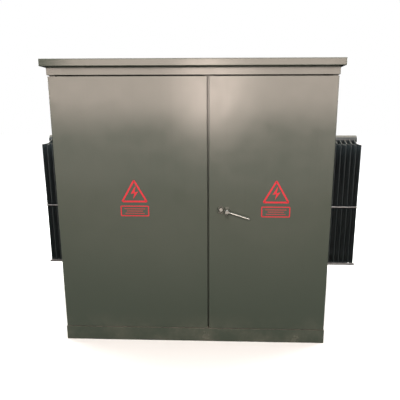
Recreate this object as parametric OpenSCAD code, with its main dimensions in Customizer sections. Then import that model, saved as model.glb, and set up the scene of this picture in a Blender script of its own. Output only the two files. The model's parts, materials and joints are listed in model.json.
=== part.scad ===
// Pad-mounted distribution transformer. Millimetres, +Z up, doors facing -Y.
// The origin is on the ground, under the middle of the whole machine.

/* [Cabinet] */
// Width of the cabinet
cab_w = 2000; // [1700:10:2400]
// Depth of the cabinet, from the door face to the tank wall
cab_d = 620; // [560:10:760]
// Height of the top of the roof
cab_h = 2095; // [1980:1:2520]
// Height of the sill below the doors
sill_h = 108; // [90:1:150]
// Height of the header strip that shows below the roof
header_show = 51.5; // [40:0.5:70]
// Depth of the sill and header channels
frame_d = 45; // [45:1:60]
// Thickness of the cabinet sheet
sheet = 3; // [2.5:0.5:4]
// Width of the inward flange at each cabinet front edge
edge_flange = 40; // [36:1:50]

/* [Roof] */
// How far the roof stands out in front of the doors
roof_lip = 65; // [62:1:90]
// How far the roof stands out at each side
roof_side = 22; // [10:1:40]
// Height of the roof's edge
fascia_h = 50; // [40:1:70]
// Width of the turned-in hem along the roof's lower edge
roof_hem = 12; // [8:1:16]
// How far the roof runs back over the tank
roof_back = 25; // [15:1:60]

/* [Doors] */
// Depth of a door pan
door_t = 34; // [34:1:44]
// Distance of the seam from the middle, towards the right
seam_x = 111; // [-50:1:200]
// Gap between the two doors
seam_gap = 10; // [8:1:14]
// Inset of each door from the cabinet side
door_inset = 4; // [3:0.5:8]
// Gap between the sill and the doors
door_gap_low = 5; // [4:0.5:8]
// Gap between the doors and the header
door_gap_top = 9; // [6:0.5:12]
// Radius of the doors' upright front edges
edge_r = 5; // [3:0.5:8]
// Width of the turned-in lip at the back of a door's upright edges
lip_w = 15; // [12:1:18]
// Height of a stiffener in a door
stiff_h = 60; // [40:1:80]
// Depth of a stiffener in a door
stiff_d = 12; // [8:1:12]

/* [Hinges] */
// Distance of the hinge axis from the door's side edge and back edge
hinge_in = 14; // [14:0.5:16]
// Radius of a hinge pin
pin_r = 5; // [4:0.5:6]
// Outer radius of a hinge knuckle
knuckle_r = 9; // [8:0.5:10]
// Height of the fixed knuckle
knuckle_h = 28; // [20:1:40]
// Height of each door knuckle
leaf_h = 24; // [16:1:32]
// Distance of the end hinges from the door's top and bottom
hinge_end = 190; // [120:5:300]
// Radial clearance of pins, shafts and sliding bolts
fit = 0.05; // [0.02:0.01:0.1]

/* [Lock] */
// Distance of the handle axis from the seam
handle_from_seam = 136; // [120:1:180]
// Height of the handle axis
handle_z = 1045; // [950:5:1150]
// Radius of the handle shaft
shaft_r = 10; // [8:0.5:12]
// Length of the handle rod
handle_len = 165; // [120:5:200]
// Radius of the handle rod
handle_r = 7; // [5:0.5:9]
// Angle of the handle rod below level
handle_drop = 17.6; // [0:0.1:30]
// Radius of the cam pins' circle
cam_r = 28; // [24:1:32]
// Radius of a cam pin
cam_pin_r = 5; // [4:0.5:6]
// Width of a latch rod
rod_w = 20; // [16:1:24]
// Thickness of a latch rod
rod_t = 8; // [6:1:10]
// Radius of the sliding bolts on the left door
bolt_r = 8; // [6:0.5:8]
// Outer radius of the lock bolt's guard cup
cup_r = 25; // [20:0.5:27]
// Depth of the guard cup
cup_d = 22; // [16:1:28]
// Radius of the lock bolt
lock_r = 6; // [5:0.5:8]

/* [Signs] */
// Side of the hazard triangle
tri_side = 200; // [150:5:250]
// Width of the triangle's border
tri_bar = 12; // [8:1:16]
// Height of the triangle's base
tri_z = 1104; // [900:5:1400]
// Distance from each sign's middle to the left or right of the seam
sign_out = [536, 488];
// Width of the panel below the triangle
panel_w = 208; // [150:5:260]
// Height of the panel below the triangle
panel_h = 79; // [50:1:100]
// Thickness of the sign
sign_t = 0.8; // [0.5:0.1:1.5]

/* [Tank] */
// Width of the tank
tank_w = 1800; // [1560:10:1990]
// Depth of the tank
tank_d = 880; // [880:10:1300]
// Height of the top of the tank's rim
tank_h = 1872; // [1780:2:1890]
// Thickness of the tank wall
wall = 8; // [6:1:10]
// Width of the rim
rim_w = 45; // [40:1:60]
// Thickness of the rim
rim_t = 12; // [10:1:16]
// Thickness of the cover gasket
gasket_t = 5; // [4:0.5:8]
// Thickness of the cover
cover_t = 8; // [6:1:12]
// Height of the base rails
rail_h = 60; // [50:1:100]
// Width of a base rail
rail_w = 70; // [60:1:100]
// How far the rails stand out behind the rim
rail_tail = 10; // [5:1:60]
// Radius of an anchor hole
anchor_r = 11; // [8:0.5:14]
// Radius of the eye in a lifting lug
lug_eye_r = 20; // [15:1:25]
// Thickness of a lifting lug
lug_t = 20; // [16:1:30]

/* [Radiators] */
// Number of plates on each side
plate_count = 12; // [8:1:12]
// Distance from plate to plate
plate_pitch = 45; // [40:1:50]
// Distance of the first plate from the tank wall
plate_first = 62; // [60:1:80]
// Thickness of a plate
plate_t = 9; // [7:1:14]
// Thickness of the welded seam round a plate
seam_t = 3; // [2:0.5:4]
// Width of a plate, front to back
plate_w = 520; // [400:10:600]
// Height of the plates' square top corners
plate_top = 1458; // [1300:2:1500]
// Height of the plates' square bottom corners
plate_low = 320; // [280:2:400]
// Outer radius of a header pipe
pipe_r = 40; // [30:1:50]
// Height of the upper header pipe above the plates' corners
pipe_rise = 37; // [37:1:45]
// Distance of the radiators' middle behind the tank's front wall
radiator_in = 482; // [480:2:500]
// How far a header pipe stands out past the last plate
pipe_stub = 28.5; // [20:0.5:40]

/* [High voltage side] */
// Spacing of the bushings in a row
hv_pitch = 200; // [180:5:230]
// Height of the upper row of bushings
hv_z = 1120; // [1000:5:1200]
// Radius of the bushing holes in the tank wall
hv_hole_r = 42; // [38:1:46]
// Height of the fuses where they enter the wall
fuse_z = 1480; // [1400:5:1500]
// Upward slope of the fuses
fuse_tilt = 20; // [10:1:30]
// Bore radius of a fuse housing
fuse_bore_r = 24; // [20:0.5:26]
// Radius of the switch and tap changer shafts
spindle_r = 12; // [10:0.5:14]

/* [Low voltage side] */
// Spacing of the low voltage bushings
lv_pitch = 190; // [170:5:200]
// Height of the low voltage bushings
lv_z = 1150; // [1000:5:1200]
// Radius of a low voltage stud
lv_stud_r = 16; // [12:0.5:20]
// Spacing of the holes in a spade
spade_pitch = 44.45; // [40:0.05:50]
// Radius of the holes in a spade
spade_hole_r = 7.15; // [5:0.05:8]
// Radius of the ground pads' tapped holes
ground_r = 6; // [4:0.5:8]

/* [Hidden] */
$fn = 48;
HEX = 6;
PENTA = 5;
SOFT = 32;

// Depths, measured along Y
total_d = roof_lip + cab_d + tank_d + rim_w + rail_tail;
face_y = -total_d / 2 + roof_lip;
tank_y0 = face_y + cab_d;
tank_y1 = tank_y0 + tank_d;
back_y = total_d / 2;
frame_y = face_y + frame_d;
skin_y = face_y + sheet;
pan_y = face_y + door_t;

// Heights
roof_under = cab_h - sheet;
header_z = cab_h - fascia_h - header_show;
door_z0 = sill_h + door_gap_low;
door_z1 = header_z - door_gap_top;
wall_top = tank_h - rim_t;
cover_z = tank_h + gasket_t;
cover_top = cover_z + cover_t;

// Doors
half_w = cab_w / 2;
left_x0 = -half_w + door_inset;
left_x1 = seam_x - seam_gap / 2;
right_x0 = seam_x + seam_gap / 2;
right_x1 = half_w - door_inset;
axis_x = half_w - door_inset - hinge_in;
axis_y = pan_y - hinge_in;
hinge_zs = [door_z0 + hinge_end, (door_z0 + door_z1) / 2, door_z1 - hinge_end];
window_gap = 3;
knuckle_gap = 0.5;
stiff_in = [290, 590];
stiff_zs = concat([for (d = stiff_in) door_z0 + d], [for (d = stiff_in) door_z1 - d]);

// Lock: two flat rods worked by a double crank behind the right door
handle_x = seam_x + handle_from_seam;
cam_y0 = face_y + 14;
cam_t = 6;
rod_y0 = cam_y0 + cam_t + 1;
rod_off = cam_r * (1 + cos(45)) / 2;
throw_z = cam_r * sin(45);
rod_gap = 6;
rod_high = door_z1 - rod_gap;
rod_low = door_z0 + rod_gap;
slot_half_w = cam_r * (1 - cos(45)) / 2 + cam_pin_r + 0.6;
slot_half_h = cam_pin_r + 1.4;
head_half_w = slot_half_w + 9;
guide_h = 20;
guide_y1 = pan_y - 1;
slide_gap = 0.5;
hub_r = 16;
hub_y0 = face_y - 50;
hub_y1 = face_y - 8;
hub_bevel = 3;
handle_y = hub_y0 + 12;
scutcheon_half = [15, 28];
scutcheon_t = 4;
lock_gap = 3;
lock_x = handle_x - scutcheon_half[0] - lock_gap - cup_r;
lock_z = handle_z + 8;
nut_t = 9;
bolt_x = left_x1 - 45;
bolt_y = guide_y1 - 1 - bolt_r;
bolt_len = 420;
frame_hole_gap = 3;

// Radiators
radiator_y = tank_y0 + radiator_in;
pipe_high_z = plate_top + pipe_rise;
pipe_low_z = plate_low - pipe_rise + 1;
plate_x1 = tank_w / 2 + plate_first + (plate_count - 1) * plate_pitch;
pipe_x1 = plate_x1 + plate_t / 2 + pipe_stub;
neck_w = 2 * pipe_r + 10;
flange_x = tank_w / 2 + 30;
flange_t = 14;
flange_lip = 14;
shoulder_in = 130;
seam_w = 14;
tie_r = 5.5;
tie_z = plate_low + (plate_top - plate_low) / 2;
tie_past = 3;
strip_t = 6;
strip_h = 20;
strip_past = 12;

// Tank wall fittings
hv_edge = 100;
hv_x0 = -tank_w / 2 + hv_edge;
hv_rows = [[0, 0], [100, -240]];
stand_drop = 120;
stand_out = 100;
fuse_x0 = hv_x0 + 100;
fuse_wall_r = 30;
fuse_boss_r = 44;
fuse_boss_out = 18;
fuse_in = 230;
fuse_out = 70;
switch_x = seam_x - 250;
switch_z = lv_z + 190;
tap_x = seam_x - 130;
tap_z = wall_top - 310;
gland_r = 20;
lv_edge = 70;
lv_x0 = tank_w / 2 - lv_edge - 3 * lv_pitch;
lv_hole_r = 34;
gauge_z = wall_top - 300;
gauge_xs = [for (d = [470, 280, 110]) tank_w / 2 - d];
gauge_rs = [60, 60, 42];
gauge_d = 40;
gauge_rim = 5;
gauge_stem_r = 12;
dial_in = 12;
relief_x = tank_w / 2 - 49;
relief_z = wall_top - 150;
relief_r = 22;
relief_bore_r = 6;
relief_stem_r = 16;
drain_x = relief_x;
drain_z = rail_h + 160;
drain_r = 28;
drain_bore_r = 7;
drain_stem_r = 16;
ground_xs = [hv_x0 + 200, lv_x0, lv_x0 + 380];
ground_z = rail_h + 100;
ground_t = 14;
ground_pad_h = 90;
ground_hole_zs = [ground_z - spade_pitch / 2, ground_z + spade_pitch / 2];
spade_t = 12;
spade_w = 92;
spade_s0 = 105;

// Core and coils
core_y = tank_y0 + 525;
core_w = 180;
limb_pitch = 430;
yoke_z0 = rail_h + 140;
limb_h = 840;
lv_coil_r = [132, 152];
hv_coil_r = [165, 205];

// Colours
paint = [0.42, 0.425, 0.385];
black = [0.13, 0.145, 0.155];
zinc = [0.72, 0.72, 0.70];
copper = [0.72, 0.42, 0.25];
rubber = [0.10, 0.10, 0.10];
red = [0.88, 0.14, 0.20];
glaze = [0.45, 0.30, 0.22];
steel = [0.45, 0.46, 0.48];

// ---- Building blocks ----

// A box from its lowest to its highest corner
module box(x0, x1, y0, y1, z0, z1) {
    translate([x0, y0, z0]) cube([x1 - x0, y1 - y0, z1 - z0]);
}

// Round bars along each axis
module bar_x(x0, x1, y, z, r) {
    translate([x0, y, z]) rotate([0, 90, 0]) cylinder(h = x1 - x0, r = r);
}

module bar_y(x, y0, y1, z, r) {
    translate([x, y1, z]) rotate([90, 0, 0]) cylinder(h = y1 - y0, r = r);
}

module bar_z(x, y, z0, z1, r) {
    translate([x, y, z0]) cylinder(h = z1 - z0, r = r);
}

// Local frame on the tank's front wall: +Z points out of the wall
module on_wall(x, z) {
    translate([x, tank_y0, z]) rotate([90, 0, 0]) children();
}

// A turned piece: points are [radius, distance along +Z]
module turned(points) {
    rotate_extrude() polygon(points);
}

// A hexagon-headed screw pointing down from z = 0
module hex_screw(r, length) {
    cylinder(h = 1.3 * r, r = 1.8 * r, $fn = HEX);
    translate([0, 0, -length]) cylinder(h = length, r = r);
}

// ---- Base and tank ----

anchor_in = 150;
anchor_out = 40;
anchor_ys = [tank_y0 + anchor_in, tank_y1 - anchor_in];
anchor_x = tank_w / 2 + anchor_out;
floor_t = 12;

module base_rails() {
    rail_wall = 8;
    tab_half = 40;
    tab_t = 12;
    x_out = tank_w / 2 - 20;
    y0 = tank_y0 + wall;
    color(paint) for (s = [0, 1]) mirror([s, 0, 0]) difference() {
        union() {
            box(x_out - rail_w, x_out, y0, back_y, 0, rail_h);
            for (y = anchor_ys) box(x_out, anchor_x + 30, y - tab_half, y + tab_half, 0, tab_t);
        }
        box(x_out - rail_w - 1, x_out - rail_wall, y0 - 1, back_y + 1, rail_wall, rail_h - rail_wall);
        for (y = anchor_ys) bar_z(anchor_x, y, -1, rail_h, anchor_r);
    }
}

// Places of the cover bolts, round the middle of the rim
rim_x = tank_w / 2 + rim_w / 2 + 4;
rim_y0 = tank_y0 - rim_w / 2 - 4;
rim_y1 = tank_y1 + rim_w / 2 + 4;
rim_nx = 10;
rim_ny = 5;
rim_bolt_r = 6;
bolt_gap = 0.5;
rim_places = concat(
    [for (i = [0 : rim_nx]) for (y = [rim_y0, rim_y1]) [-rim_x + 2 * rim_x * i / rim_nx, y]],
    [for (i = [1 : rim_ny - 1]) for (x = [-rim_x, rim_x]) [x, rim_y0 + (rim_y1 - rim_y0) * i / rim_ny]]
);

module rim_holes(z0, z1) {
    for (p = rim_places) bar_z(p[0], p[1], z0, z1, rim_bolt_r + bolt_gap);
}

module rim_plate(z0, z1) {
    box(-tank_w / 2 - rim_w, tank_w / 2 + rim_w, tank_y0 - rim_w, tank_y1 + rim_w, z0, z1);
}

module tank_hollow(z0, z1) {
    box(-tank_w / 2 + wall, tank_w / 2 - wall, tank_y0 + wall, tank_y1 - wall, z0, z1);
}

module tank() {
    color(paint) difference() {
        union() {
            box(-tank_w / 2, tank_w / 2, tank_y0, tank_y1, rail_h, wall_top);
            rim_plate(wall_top, tank_h);
            for (i = [0 : 2]) fuse_frame(i) translate([0, 0, -5])
                cylinder(h = fuse_boss_out + 5, r = fuse_boss_r);
        }
        tank_hollow(rail_h + floor_t, tank_h + 1);
        rim_holes(wall_top - 1, tank_h + 1);
        for (p = hv_places) bar_y(p[0], tank_y0 - 1, tank_y0 + wall + 1, p[1], hv_hole_r);
        for (i = [0 : 3]) bar_y(lv_x0 + i * lv_pitch, tank_y0 - 1, tank_y0 + wall + 1, lv_z, lv_hole_r);
        for (i = [0 : 2]) fuse_frame(i) translate([0, 0, -60]) cylinder(h = 100, r = fuse_wall_r);
        bar_y(switch_x, tank_y0 - 1, tank_y0 + wall + 1, switch_z, gland_r);
        bar_y(tap_x, tank_y0 - 1, tank_y0 + wall + 1, tap_z, gland_r);
        bar_y(relief_x, tank_y0 - 1, tank_y0 + wall + 1, relief_z, relief_stem_r);
        bar_y(drain_x, tank_y0 - 1, tank_y0 + wall + 1, drain_z, drain_stem_r);
        for (i = [0 : 2]) bar_y(gauge_xs[i], tank_y0 - 1, tank_y0 + wall + 1, gauge_z, gauge_stem_r);
        for (s = [-1, 1]) for (z = [pipe_high_z, pipe_low_z]) {
            bar_x(s * tank_w / 2 - wall - 1, s * tank_w / 2 + wall + 1, radiator_y, z, pipe_r);
        }
    }
}

// Stiffening channels welded on the back wall, shallower than the rim
module tank_ribs() {
    rib_w = 70;
    rib_sheet = 6;
    rib_y = tank_y1 + rim_w - 10;
    z0 = rail_h + 60;
    z1 = wall_top - 40;
    color(paint) for (i = [-1 : 1]) translate([i * tank_w * 0.3, 0, 0]) difference() {
        box(-rib_w / 2, rib_w / 2, tank_y1, rib_y, z0, z1);
        box(-rib_w / 2 + rib_sheet, rib_w / 2 - rib_sheet, tank_y1 - 1, rib_y - rib_sheet,
            z0 + rib_sheet, z1 - rib_sheet);
    }
}

module cover_gasket() {
    color(rubber) difference() {
        rim_plate(tank_h, cover_z);
        tank_hollow(tank_h - 1, cover_z + 1);
        rim_holes(tank_h - 1, cover_z + 1);
    }
}

hand_w = 420;
hand_d = 300;
hand_y = core_y + 60;
hand_lip = 30;
hand_bolt_in = 15;
hand_places = [for (x = [-1, 0, 1]) for (y = [-1, 1])
    [x * (hand_w / 2 - hand_bolt_in), hand_y + y * (hand_d / 2 - hand_bolt_in)]];

module tank_cover() {
    color(paint) difference() {
        rim_plate(cover_z, cover_top);
        box(-hand_w / 2 + hand_lip, hand_w / 2 - hand_lip, hand_y - hand_d / 2 + hand_lip,
            hand_y + hand_d / 2 - hand_lip, cover_z - 1, cover_top + 1);
        rim_holes(cover_z - 1, cover_top + 1);
        for (p = hand_places) bar_z(p[0], p[1], cover_z - 1, cover_top + 1, rim_bolt_r);
    }
}

module cover_bolts() {
    rim_nut_t = 9;
    nut_z = wall_top - rim_nut_t;
    color(zinc) for (p = rim_places) translate([p[0], p[1], 0]) {
        translate([0, 0, cover_top]) hex_screw(rim_bolt_r, cover_top - nut_z);
        translate([0, 0, nut_z]) cylinder(h = rim_nut_t, r = 1.8 * rim_bolt_r, $fn = HEX);
    }
}

module handhole_cover() {
    plate_top_z = cover_top + cover_t;
    color(paint) {
        box(-hand_w / 2, hand_w / 2, hand_y - hand_d / 2, hand_y + hand_d / 2, cover_top, plate_top_z);
            for (p = hand_places) translate([p[0], p[1], plate_top_z]) hex_screw(rim_bolt_r, 2 * cover_t - 1);
    }
}

// Lug plates stand clear of the rim, so that a shackle hangs straight
lug_clear = 50;
lug_in = 110;
lug_nose = 34;
lug_out = rim_w + lug_clear;
lug_ys = [tank_y0 + lug_in, tank_y1 - lug_in];
lug_eye_x = tank_w / 2 + lug_out - lug_nose;
lug_eye_z = wall_top - 100;

module lifting_lugs() {
    color(paint) for (s = [-1, 1]) for (y = lug_ys) {
        difference() {
            translate([0, y + lug_t / 2, 0]) rotate([90, 0, 0]) linear_extrude(lug_t) polygon([
                [s * tank_w / 2, lug_eye_z - 120], [s * (lug_eye_x + 30), lug_eye_z - lug_nose],
                [s * (lug_eye_x + lug_nose), lug_eye_z + 28], [s * (lug_eye_x - 10), lug_eye_z + 40],
                [s * tank_w / 2, lug_eye_z + 60]
            ]);
            bar_y(s * lug_eye_x, y - lug_t, y + lug_t, lug_eye_z, lug_eye_r);
        }
    }
}

// ---- Radiators ----

// Pipes into the tank wall, each with a bolting flange near the tank and a closed, stepped end
module radiator_pipes(s) {
    pipe_wall = 4;
    cap_t = 6;
    cap_step = 5;
    mirror([s < 0 ? 1 : 0, 0, 0]) for (z = [pipe_high_z, pipe_low_z]) difference() {
        union() {
            bar_x(tank_w / 2 - wall, pipe_x1 - cap_t, radiator_y, z, pipe_r);
            bar_x(pipe_x1 - cap_t, pipe_x1, radiator_y, z, pipe_r - cap_step);
            bar_x(flange_x, flange_x + flange_t, radiator_y, z, pipe_r + flange_lip);
        }
        bar_x(tank_w / 2 - wall - 1, pipe_x1 - cap_t - pipe_wall, radiator_y, z, pipe_r - pipe_wall);
    }
}

module radiator_pipes_left() {
    color(black) radiator_pipes(-1);
}

module radiator_pipes_right() {
    color(black) radiator_pipes(1);
}

// Outline of a plate in [depth, height], drawn in by a margin all round
function plate_outline(m) = [
    [-plate_w / 2 + m, plate_low + m], [-neck_w / 2 + m, pipe_low_z],
    [neck_w / 2 - m, pipe_low_z], [plate_w / 2 - m, plate_low + m],
    [plate_w / 2 - m, plate_top - m], [plate_w / 2 - shoulder_in, plate_top - m],
    [neck_w / 2 - m, pipe_high_z], [-neck_w / 2 + m, pipe_high_z],
    [-plate_w / 2 + shoulder_in, plate_top - m], [-plate_w / 2 + m, plate_top - m]
];

module radiator_plate(thick, margin) {
    translate([-thick / 2, radiator_y, 0]) rotate([90, 0, 90]) linear_extrude(thick) {
        polygon(plate_outline(margin));
    }
}

module radiator_plates(s) {
    for (i = [0 : plate_count - 1]) difference() {
        translate([s * (tank_w / 2 + plate_first + i * plate_pitch), 0, 0]) {
            radiator_plate(seam_t, 0);
            radiator_plate(plate_t, seam_w);
        }
        for (z = [pipe_high_z, pipe_low_z]) bar_x(-2 * cab_w, 2 * cab_w, radiator_y, z, pipe_r);
    }
}

module radiator_plates_left() {
    color(black) radiator_plates(-1);
}

module radiator_plates_right() {
    color(black) radiator_plates(1);
}

// Braces along the plates' free edges: round rods halfway up, flat strips at the bottom
module radiator_ties() {
    x0 = tank_w / 2 + plate_first - plate_t;
    x1 = plate_x1 + plate_t / 2;
    color(steel) for (s = [-1, 1]) mirror([s < 0 ? 1 : 0, 0, 0]) for (y = [-1, 1]) {
        edge_y = radiator_y + y * plate_w / 2;
        far_y = edge_y + y * strip_t;
        bar_x(x0, x1 + tie_past, edge_y + y * tie_r, tie_z, tie_r);
        box(x0, x1 + strip_past, min(edge_y, far_y), max(edge_y, far_y), plate_low, plate_low + strip_h);
    }
}

// ---- Cabinet ----

module side_panel(s) {
    mirror([s < 0 ? 1 : 0, 0, 0]) {
        box(half_w - sheet, half_w, frame_y, tank_y0 + wall, 0, roof_under);
        box(half_w - edge_flange, half_w - sheet, frame_y, frame_y + sheet, 0, roof_under);
    }
}

module side_panel_left() {
    color(paint) side_panel(-1);
}

module side_panel_right() {
    color(paint) side_panel(1);
}

// A channel across the cabinet's front, with the slots that the rods and bolts enter
module front_channel(z0, z1, lip_z, rod_x) {
    difference() {
        box(-half_w, half_w, face_y, frame_y, z0, z1);
        box(-half_w + sheet, half_w - sheet, skin_y, frame_y + 1,
            lip_z == z0 ? z0 + sheet : z0 - 1, lip_z == z0 ? z1 + 1 : z1 - sheet);
        box(rod_x - rod_w / 2 - frame_hole_gap, rod_x + rod_w / 2 + frame_hole_gap,
            rod_y0 - frame_hole_gap, rod_y0 + rod_t + frame_hole_gap, lip_z - sheet - 1, lip_z + sheet + 1);
        bar_z(bolt_x, bolt_y, lip_z - sheet - 1, lip_z + sheet + 1, bolt_r + frame_hole_gap);
    }
}

module sill() {
    color(paint) front_channel(0, sill_h, sill_h, handle_x - rod_off);
}

module header_rail() {
    color(paint) front_channel(header_z, roof_under, header_z, handle_x + rod_off);
}

module roof() {
    y0 = face_y - roof_lip;
    y1 = tank_y0 + roof_back;
    x1 = half_w + roof_side;
    z0 = cab_h - fascia_h;
    color(paint) difference() {
        box(-x1, x1, y0, y1, z0, cab_h);
        box(-x1 + sheet, x1 - sheet, y0 + sheet, y1 - sheet, z0 + sheet, roof_under);
        box(-x1 + roof_hem, x1 - roof_hem, y0 + roof_hem, y1 - roof_hem, z0 - 1, roof_under);
    }
}

// Plate level with the tank's front wall, which closes the cabinet beside and below the tank
module cabinet_back() {
    color(paint) difference() {
        box(-half_w + sheet, half_w - sheet, tank_y0, tank_y0 + wall, 0, wall_top);
        box(-tank_w / 2, tank_w / 2, tank_y0 - 1, tank_y0 + wall + 1, rail_h, wall_top + 1);
    }
}

module rear_upper_plate() {
    slot_x = tank_w / 2 + rim_w + 1;
    color(paint) difference() {
        box(-half_w + sheet, half_w - sheet, tank_y0, tank_y0 + sheet, wall_top, roof_under);
        box(-slot_x, slot_x, tank_y0 - 1, tank_y0 + wall, wall_top - 1, cover_top);
    }
}

// Sheet that parts the high and low voltage sides, with a post behind the door seam
module barrier() {
    post_half = 30;
    color(paint) {
        box(seam_x - sheet / 2, seam_x + sheet / 2, frame_y + sheet, tank_y0, sill_h - 48, wall_top - 20);
        box(seam_x - post_half, seam_x + post_half, frame_y, frame_y + sheet, 20, roof_under - 20);
    }
}

module hinge_brackets() {
    arm_half = 3;
    pin_head_r = 7.5;
    color(steel) for (s = [-1, 1]) for (z = hinge_zs) translate([s * axis_x, 0, z]) {
        box(-arm_half, arm_half, axis_y, frame_y, -knuckle_h / 2, knuckle_h / 2);
        translate([0, axis_y, 0]) {
            cylinder(h = knuckle_h, r = knuckle_r, center = true);
            cylinder(h = knuckle_h + 2 * leaf_h + 4 * knuckle_gap, r = pin_r, center = true);
            translate([0, 0, knuckle_h / 2 + leaf_h + 2 * knuckle_gap]) cylinder(h = 4, r = pin_head_r);
        }
    }
}

// ---- Doors ----

// Plan of a door pan: square at the back, round at the two front corners
module pan_plan(w) {
    translate([0, edge_r]) square([w, door_t - edge_r]);
    translate([edge_r, 0]) square([w - 2 * edge_r, edge_r + 1]);
    for (x = [edge_r, w - edge_r]) translate([x, edge_r]) circle(r = edge_r, $fn = SOFT);
}

module hinge_windows(s) {
    edge = s * (half_w - door_inset);
    reach = hinge_in + 16;
    for (z = hinge_zs) {
        box(min(edge - s * reach, edge + s), max(edge - s * reach, edge + s), skin_y, pan_y + 1,
            z - knuckle_h / 2 - window_gap, z + knuckle_h / 2 + window_gap);
    }
}

module door_pan(x0, x1, s) {
    difference() {
        union() {
            difference() {
                translate([x0, face_y, door_z0]) linear_extrude(door_z1 - door_z0) pan_plan(x1 - x0);
                box(x0 + sheet, x1 - sheet, skin_y, pan_y + 1, door_z0 + sheet, door_z1 - sheet);
            }
            for (x = [x0 + sheet, x1 - lip_w]) {
                box(x, x + lip_w - sheet, pan_y - sheet, pan_y, door_z0 + sheet, door_z1 - sheet);
            }
        }
        hinge_windows(s);
    }
}

// Stiffening channels and the hinge knuckles welded inside a door
module door_frame(x0, x1, s) {
    leaf_half = 4;
    for (z = stiff_zs) difference() {
        box(x0 + 40, x1 - 40, skin_y, skin_y + stiff_d, z - stiff_h / 2, z + stiff_h / 2);
        box(x0 + 39, x1 - 39, skin_y - 1, skin_y + stiff_d - sheet, z - stiff_h / 2 + sheet,
            z + stiff_h / 2 - sheet);
    }
    for (z = hinge_zs) for (up = [-1, 1]) {
        translate([s * axis_x, 0, z + up * (knuckle_h / 2 + knuckle_gap + leaf_h / 2)]) difference() {
            union() {
                box(-leaf_half, leaf_half, skin_y, axis_y, -leaf_h / 2, leaf_h / 2);
                translate([0, axis_y, 0]) cylinder(h = leaf_h, r = knuckle_r, center = true);
            }
            translate([0, axis_y, 0]) cylinder(h = leaf_h + 2, r = pin_r + fit, center = true);
        }
    }
}

module door_left() {
    color(paint) difference() {
        door_pan(left_x0, left_x1, -1);
        for (z = [door_z0, door_z1]) bar_z(bolt_x, bolt_y, z - sheet - 1, z + sheet + 1, bolt_r + 1);
    }
}

module door_left_frame() {
    color(steel) door_frame(left_x0, left_x1, -1);
}

bolt_guide_zs = [door_z0 + 90, door_z0 + 360, door_z1 - 360, door_z1 - 90];

module door_bolt_guides() {
    half = bolt_r + 7;
    color(steel) for (z = bolt_guide_zs) difference() {
        box(bolt_x - half, bolt_x + half, skin_y, guide_y1, z - guide_h / 2, z + guide_h / 2);
        bar_z(bolt_x, bolt_y, z - guide_h, z + guide_h, bolt_r + fit);
    }
}

// Sliding bolt with a finger bar
module sliding_bolt(z0, z1, grip_z) {
    bar_z(bolt_x, bolt_y, z0, z1, bolt_r);
    bar_x(bolt_x - 42, bolt_x, bolt_y, grip_z, 4);
}

module door_bolt_upper() {
    color(zinc) sliding_bolt(rod_high - bolt_len, rod_high, door_z1 - 200);
}

module door_bolt_lower() {
    color(zinc) sliding_bolt(rod_low, rod_low + bolt_len, door_z0 + 200);
}

module door_right() {
    color(paint) difference() {
        door_pan(right_x0, right_x1, 1);
        bar_y(handle_x, face_y - 1, skin_y + 1, handle_z, shaft_r + fit);
        bar_y(lock_x, face_y - 1, skin_y + 1, lock_z, lock_r + fit);
        for (k = [[rod_off, door_z1], [-rod_off, door_z0]]) {
            box(handle_x + k[0] - rod_w / 2 - 1, handle_x + k[0] + rod_w / 2 + 1,
                rod_y0 - 1, rod_y0 + rod_t + 1, k[1] - sheet - 1, k[1] + sheet + 1);
        }
    }
}

module door_right_frame() {
    color(steel) door_frame(right_x0, right_x1, 1);
}

// Guides: [offset from the handle axis, height]
latch_guide_places = [
    [rod_off, handle_z + 260], [rod_off, door_z1 - 80],
    [-rod_off, handle_z - 200], [-rod_off, door_z0 + 100]
];

module latch_guides() {
    wall_x = 5;
    color(steel) for (p = latch_guide_places) translate([handle_x + p[0], 0, p[1]]) difference() {
        box(-rod_w / 2 - wall_x, rod_w / 2 + wall_x, skin_y, guide_y1, -guide_h / 2, guide_h / 2);
        box(-rod_w / 2 - slide_gap, rod_w / 2 + slide_gap, rod_y0 - slide_gap, rod_y0 + rod_t + slide_gap,
            -guide_h, guide_h);
    }
}

// Guard cup, nut of the lock bolt, plate under the handle and the padlock lug
module lock_fittings() {
    cup_wall = 3;
    lug_half_t = 2.5;
    lug_reach = 30;
    lug_drop = 29;
    lug_hole = [17, 15];
    lug_hole_r = 6;
    color(steel) {
        translate([lock_x, face_y, lock_z]) rotate([90, 0, 0]) turned([
            [lock_r + fit, 0], [cup_r, 0], [cup_r, cup_d - 1], [cup_r - 1, cup_d],
            [cup_r - cup_wall + 1, cup_d], [cup_r - cup_wall, cup_d - 1], [cup_r - cup_wall, 2],
            [lock_r + fit, 2]
        ]);
        difference() {
            bar_y(lock_x, skin_y, skin_y + nut_t, lock_z, 8.5);
            bar_y(lock_x, skin_y - 1, skin_y + nut_t + 1, lock_z, lock_r + fit);
        }
        difference() {
            box(handle_x - scutcheon_half[0], handle_x + scutcheon_half[0], face_y - scutcheon_t, face_y,
                handle_z - scutcheon_half[1], handle_z + scutcheon_half[1]);
            bar_y(handle_x, face_y - scutcheon_t - 1, face_y + 1, handle_z, shaft_r + fit);
        }
        translate([handle_x, face_y, handle_z - scutcheon_half[1] - 1]) difference() {
            box(-lug_half_t, lug_half_t, -lug_reach, 0, -lug_drop, 0);
            bar_x(-lug_half_t - 1, lug_half_t + 1, -lug_hole[0], -lug_hole[1], lug_hole_r);
        }
    }
}

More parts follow.
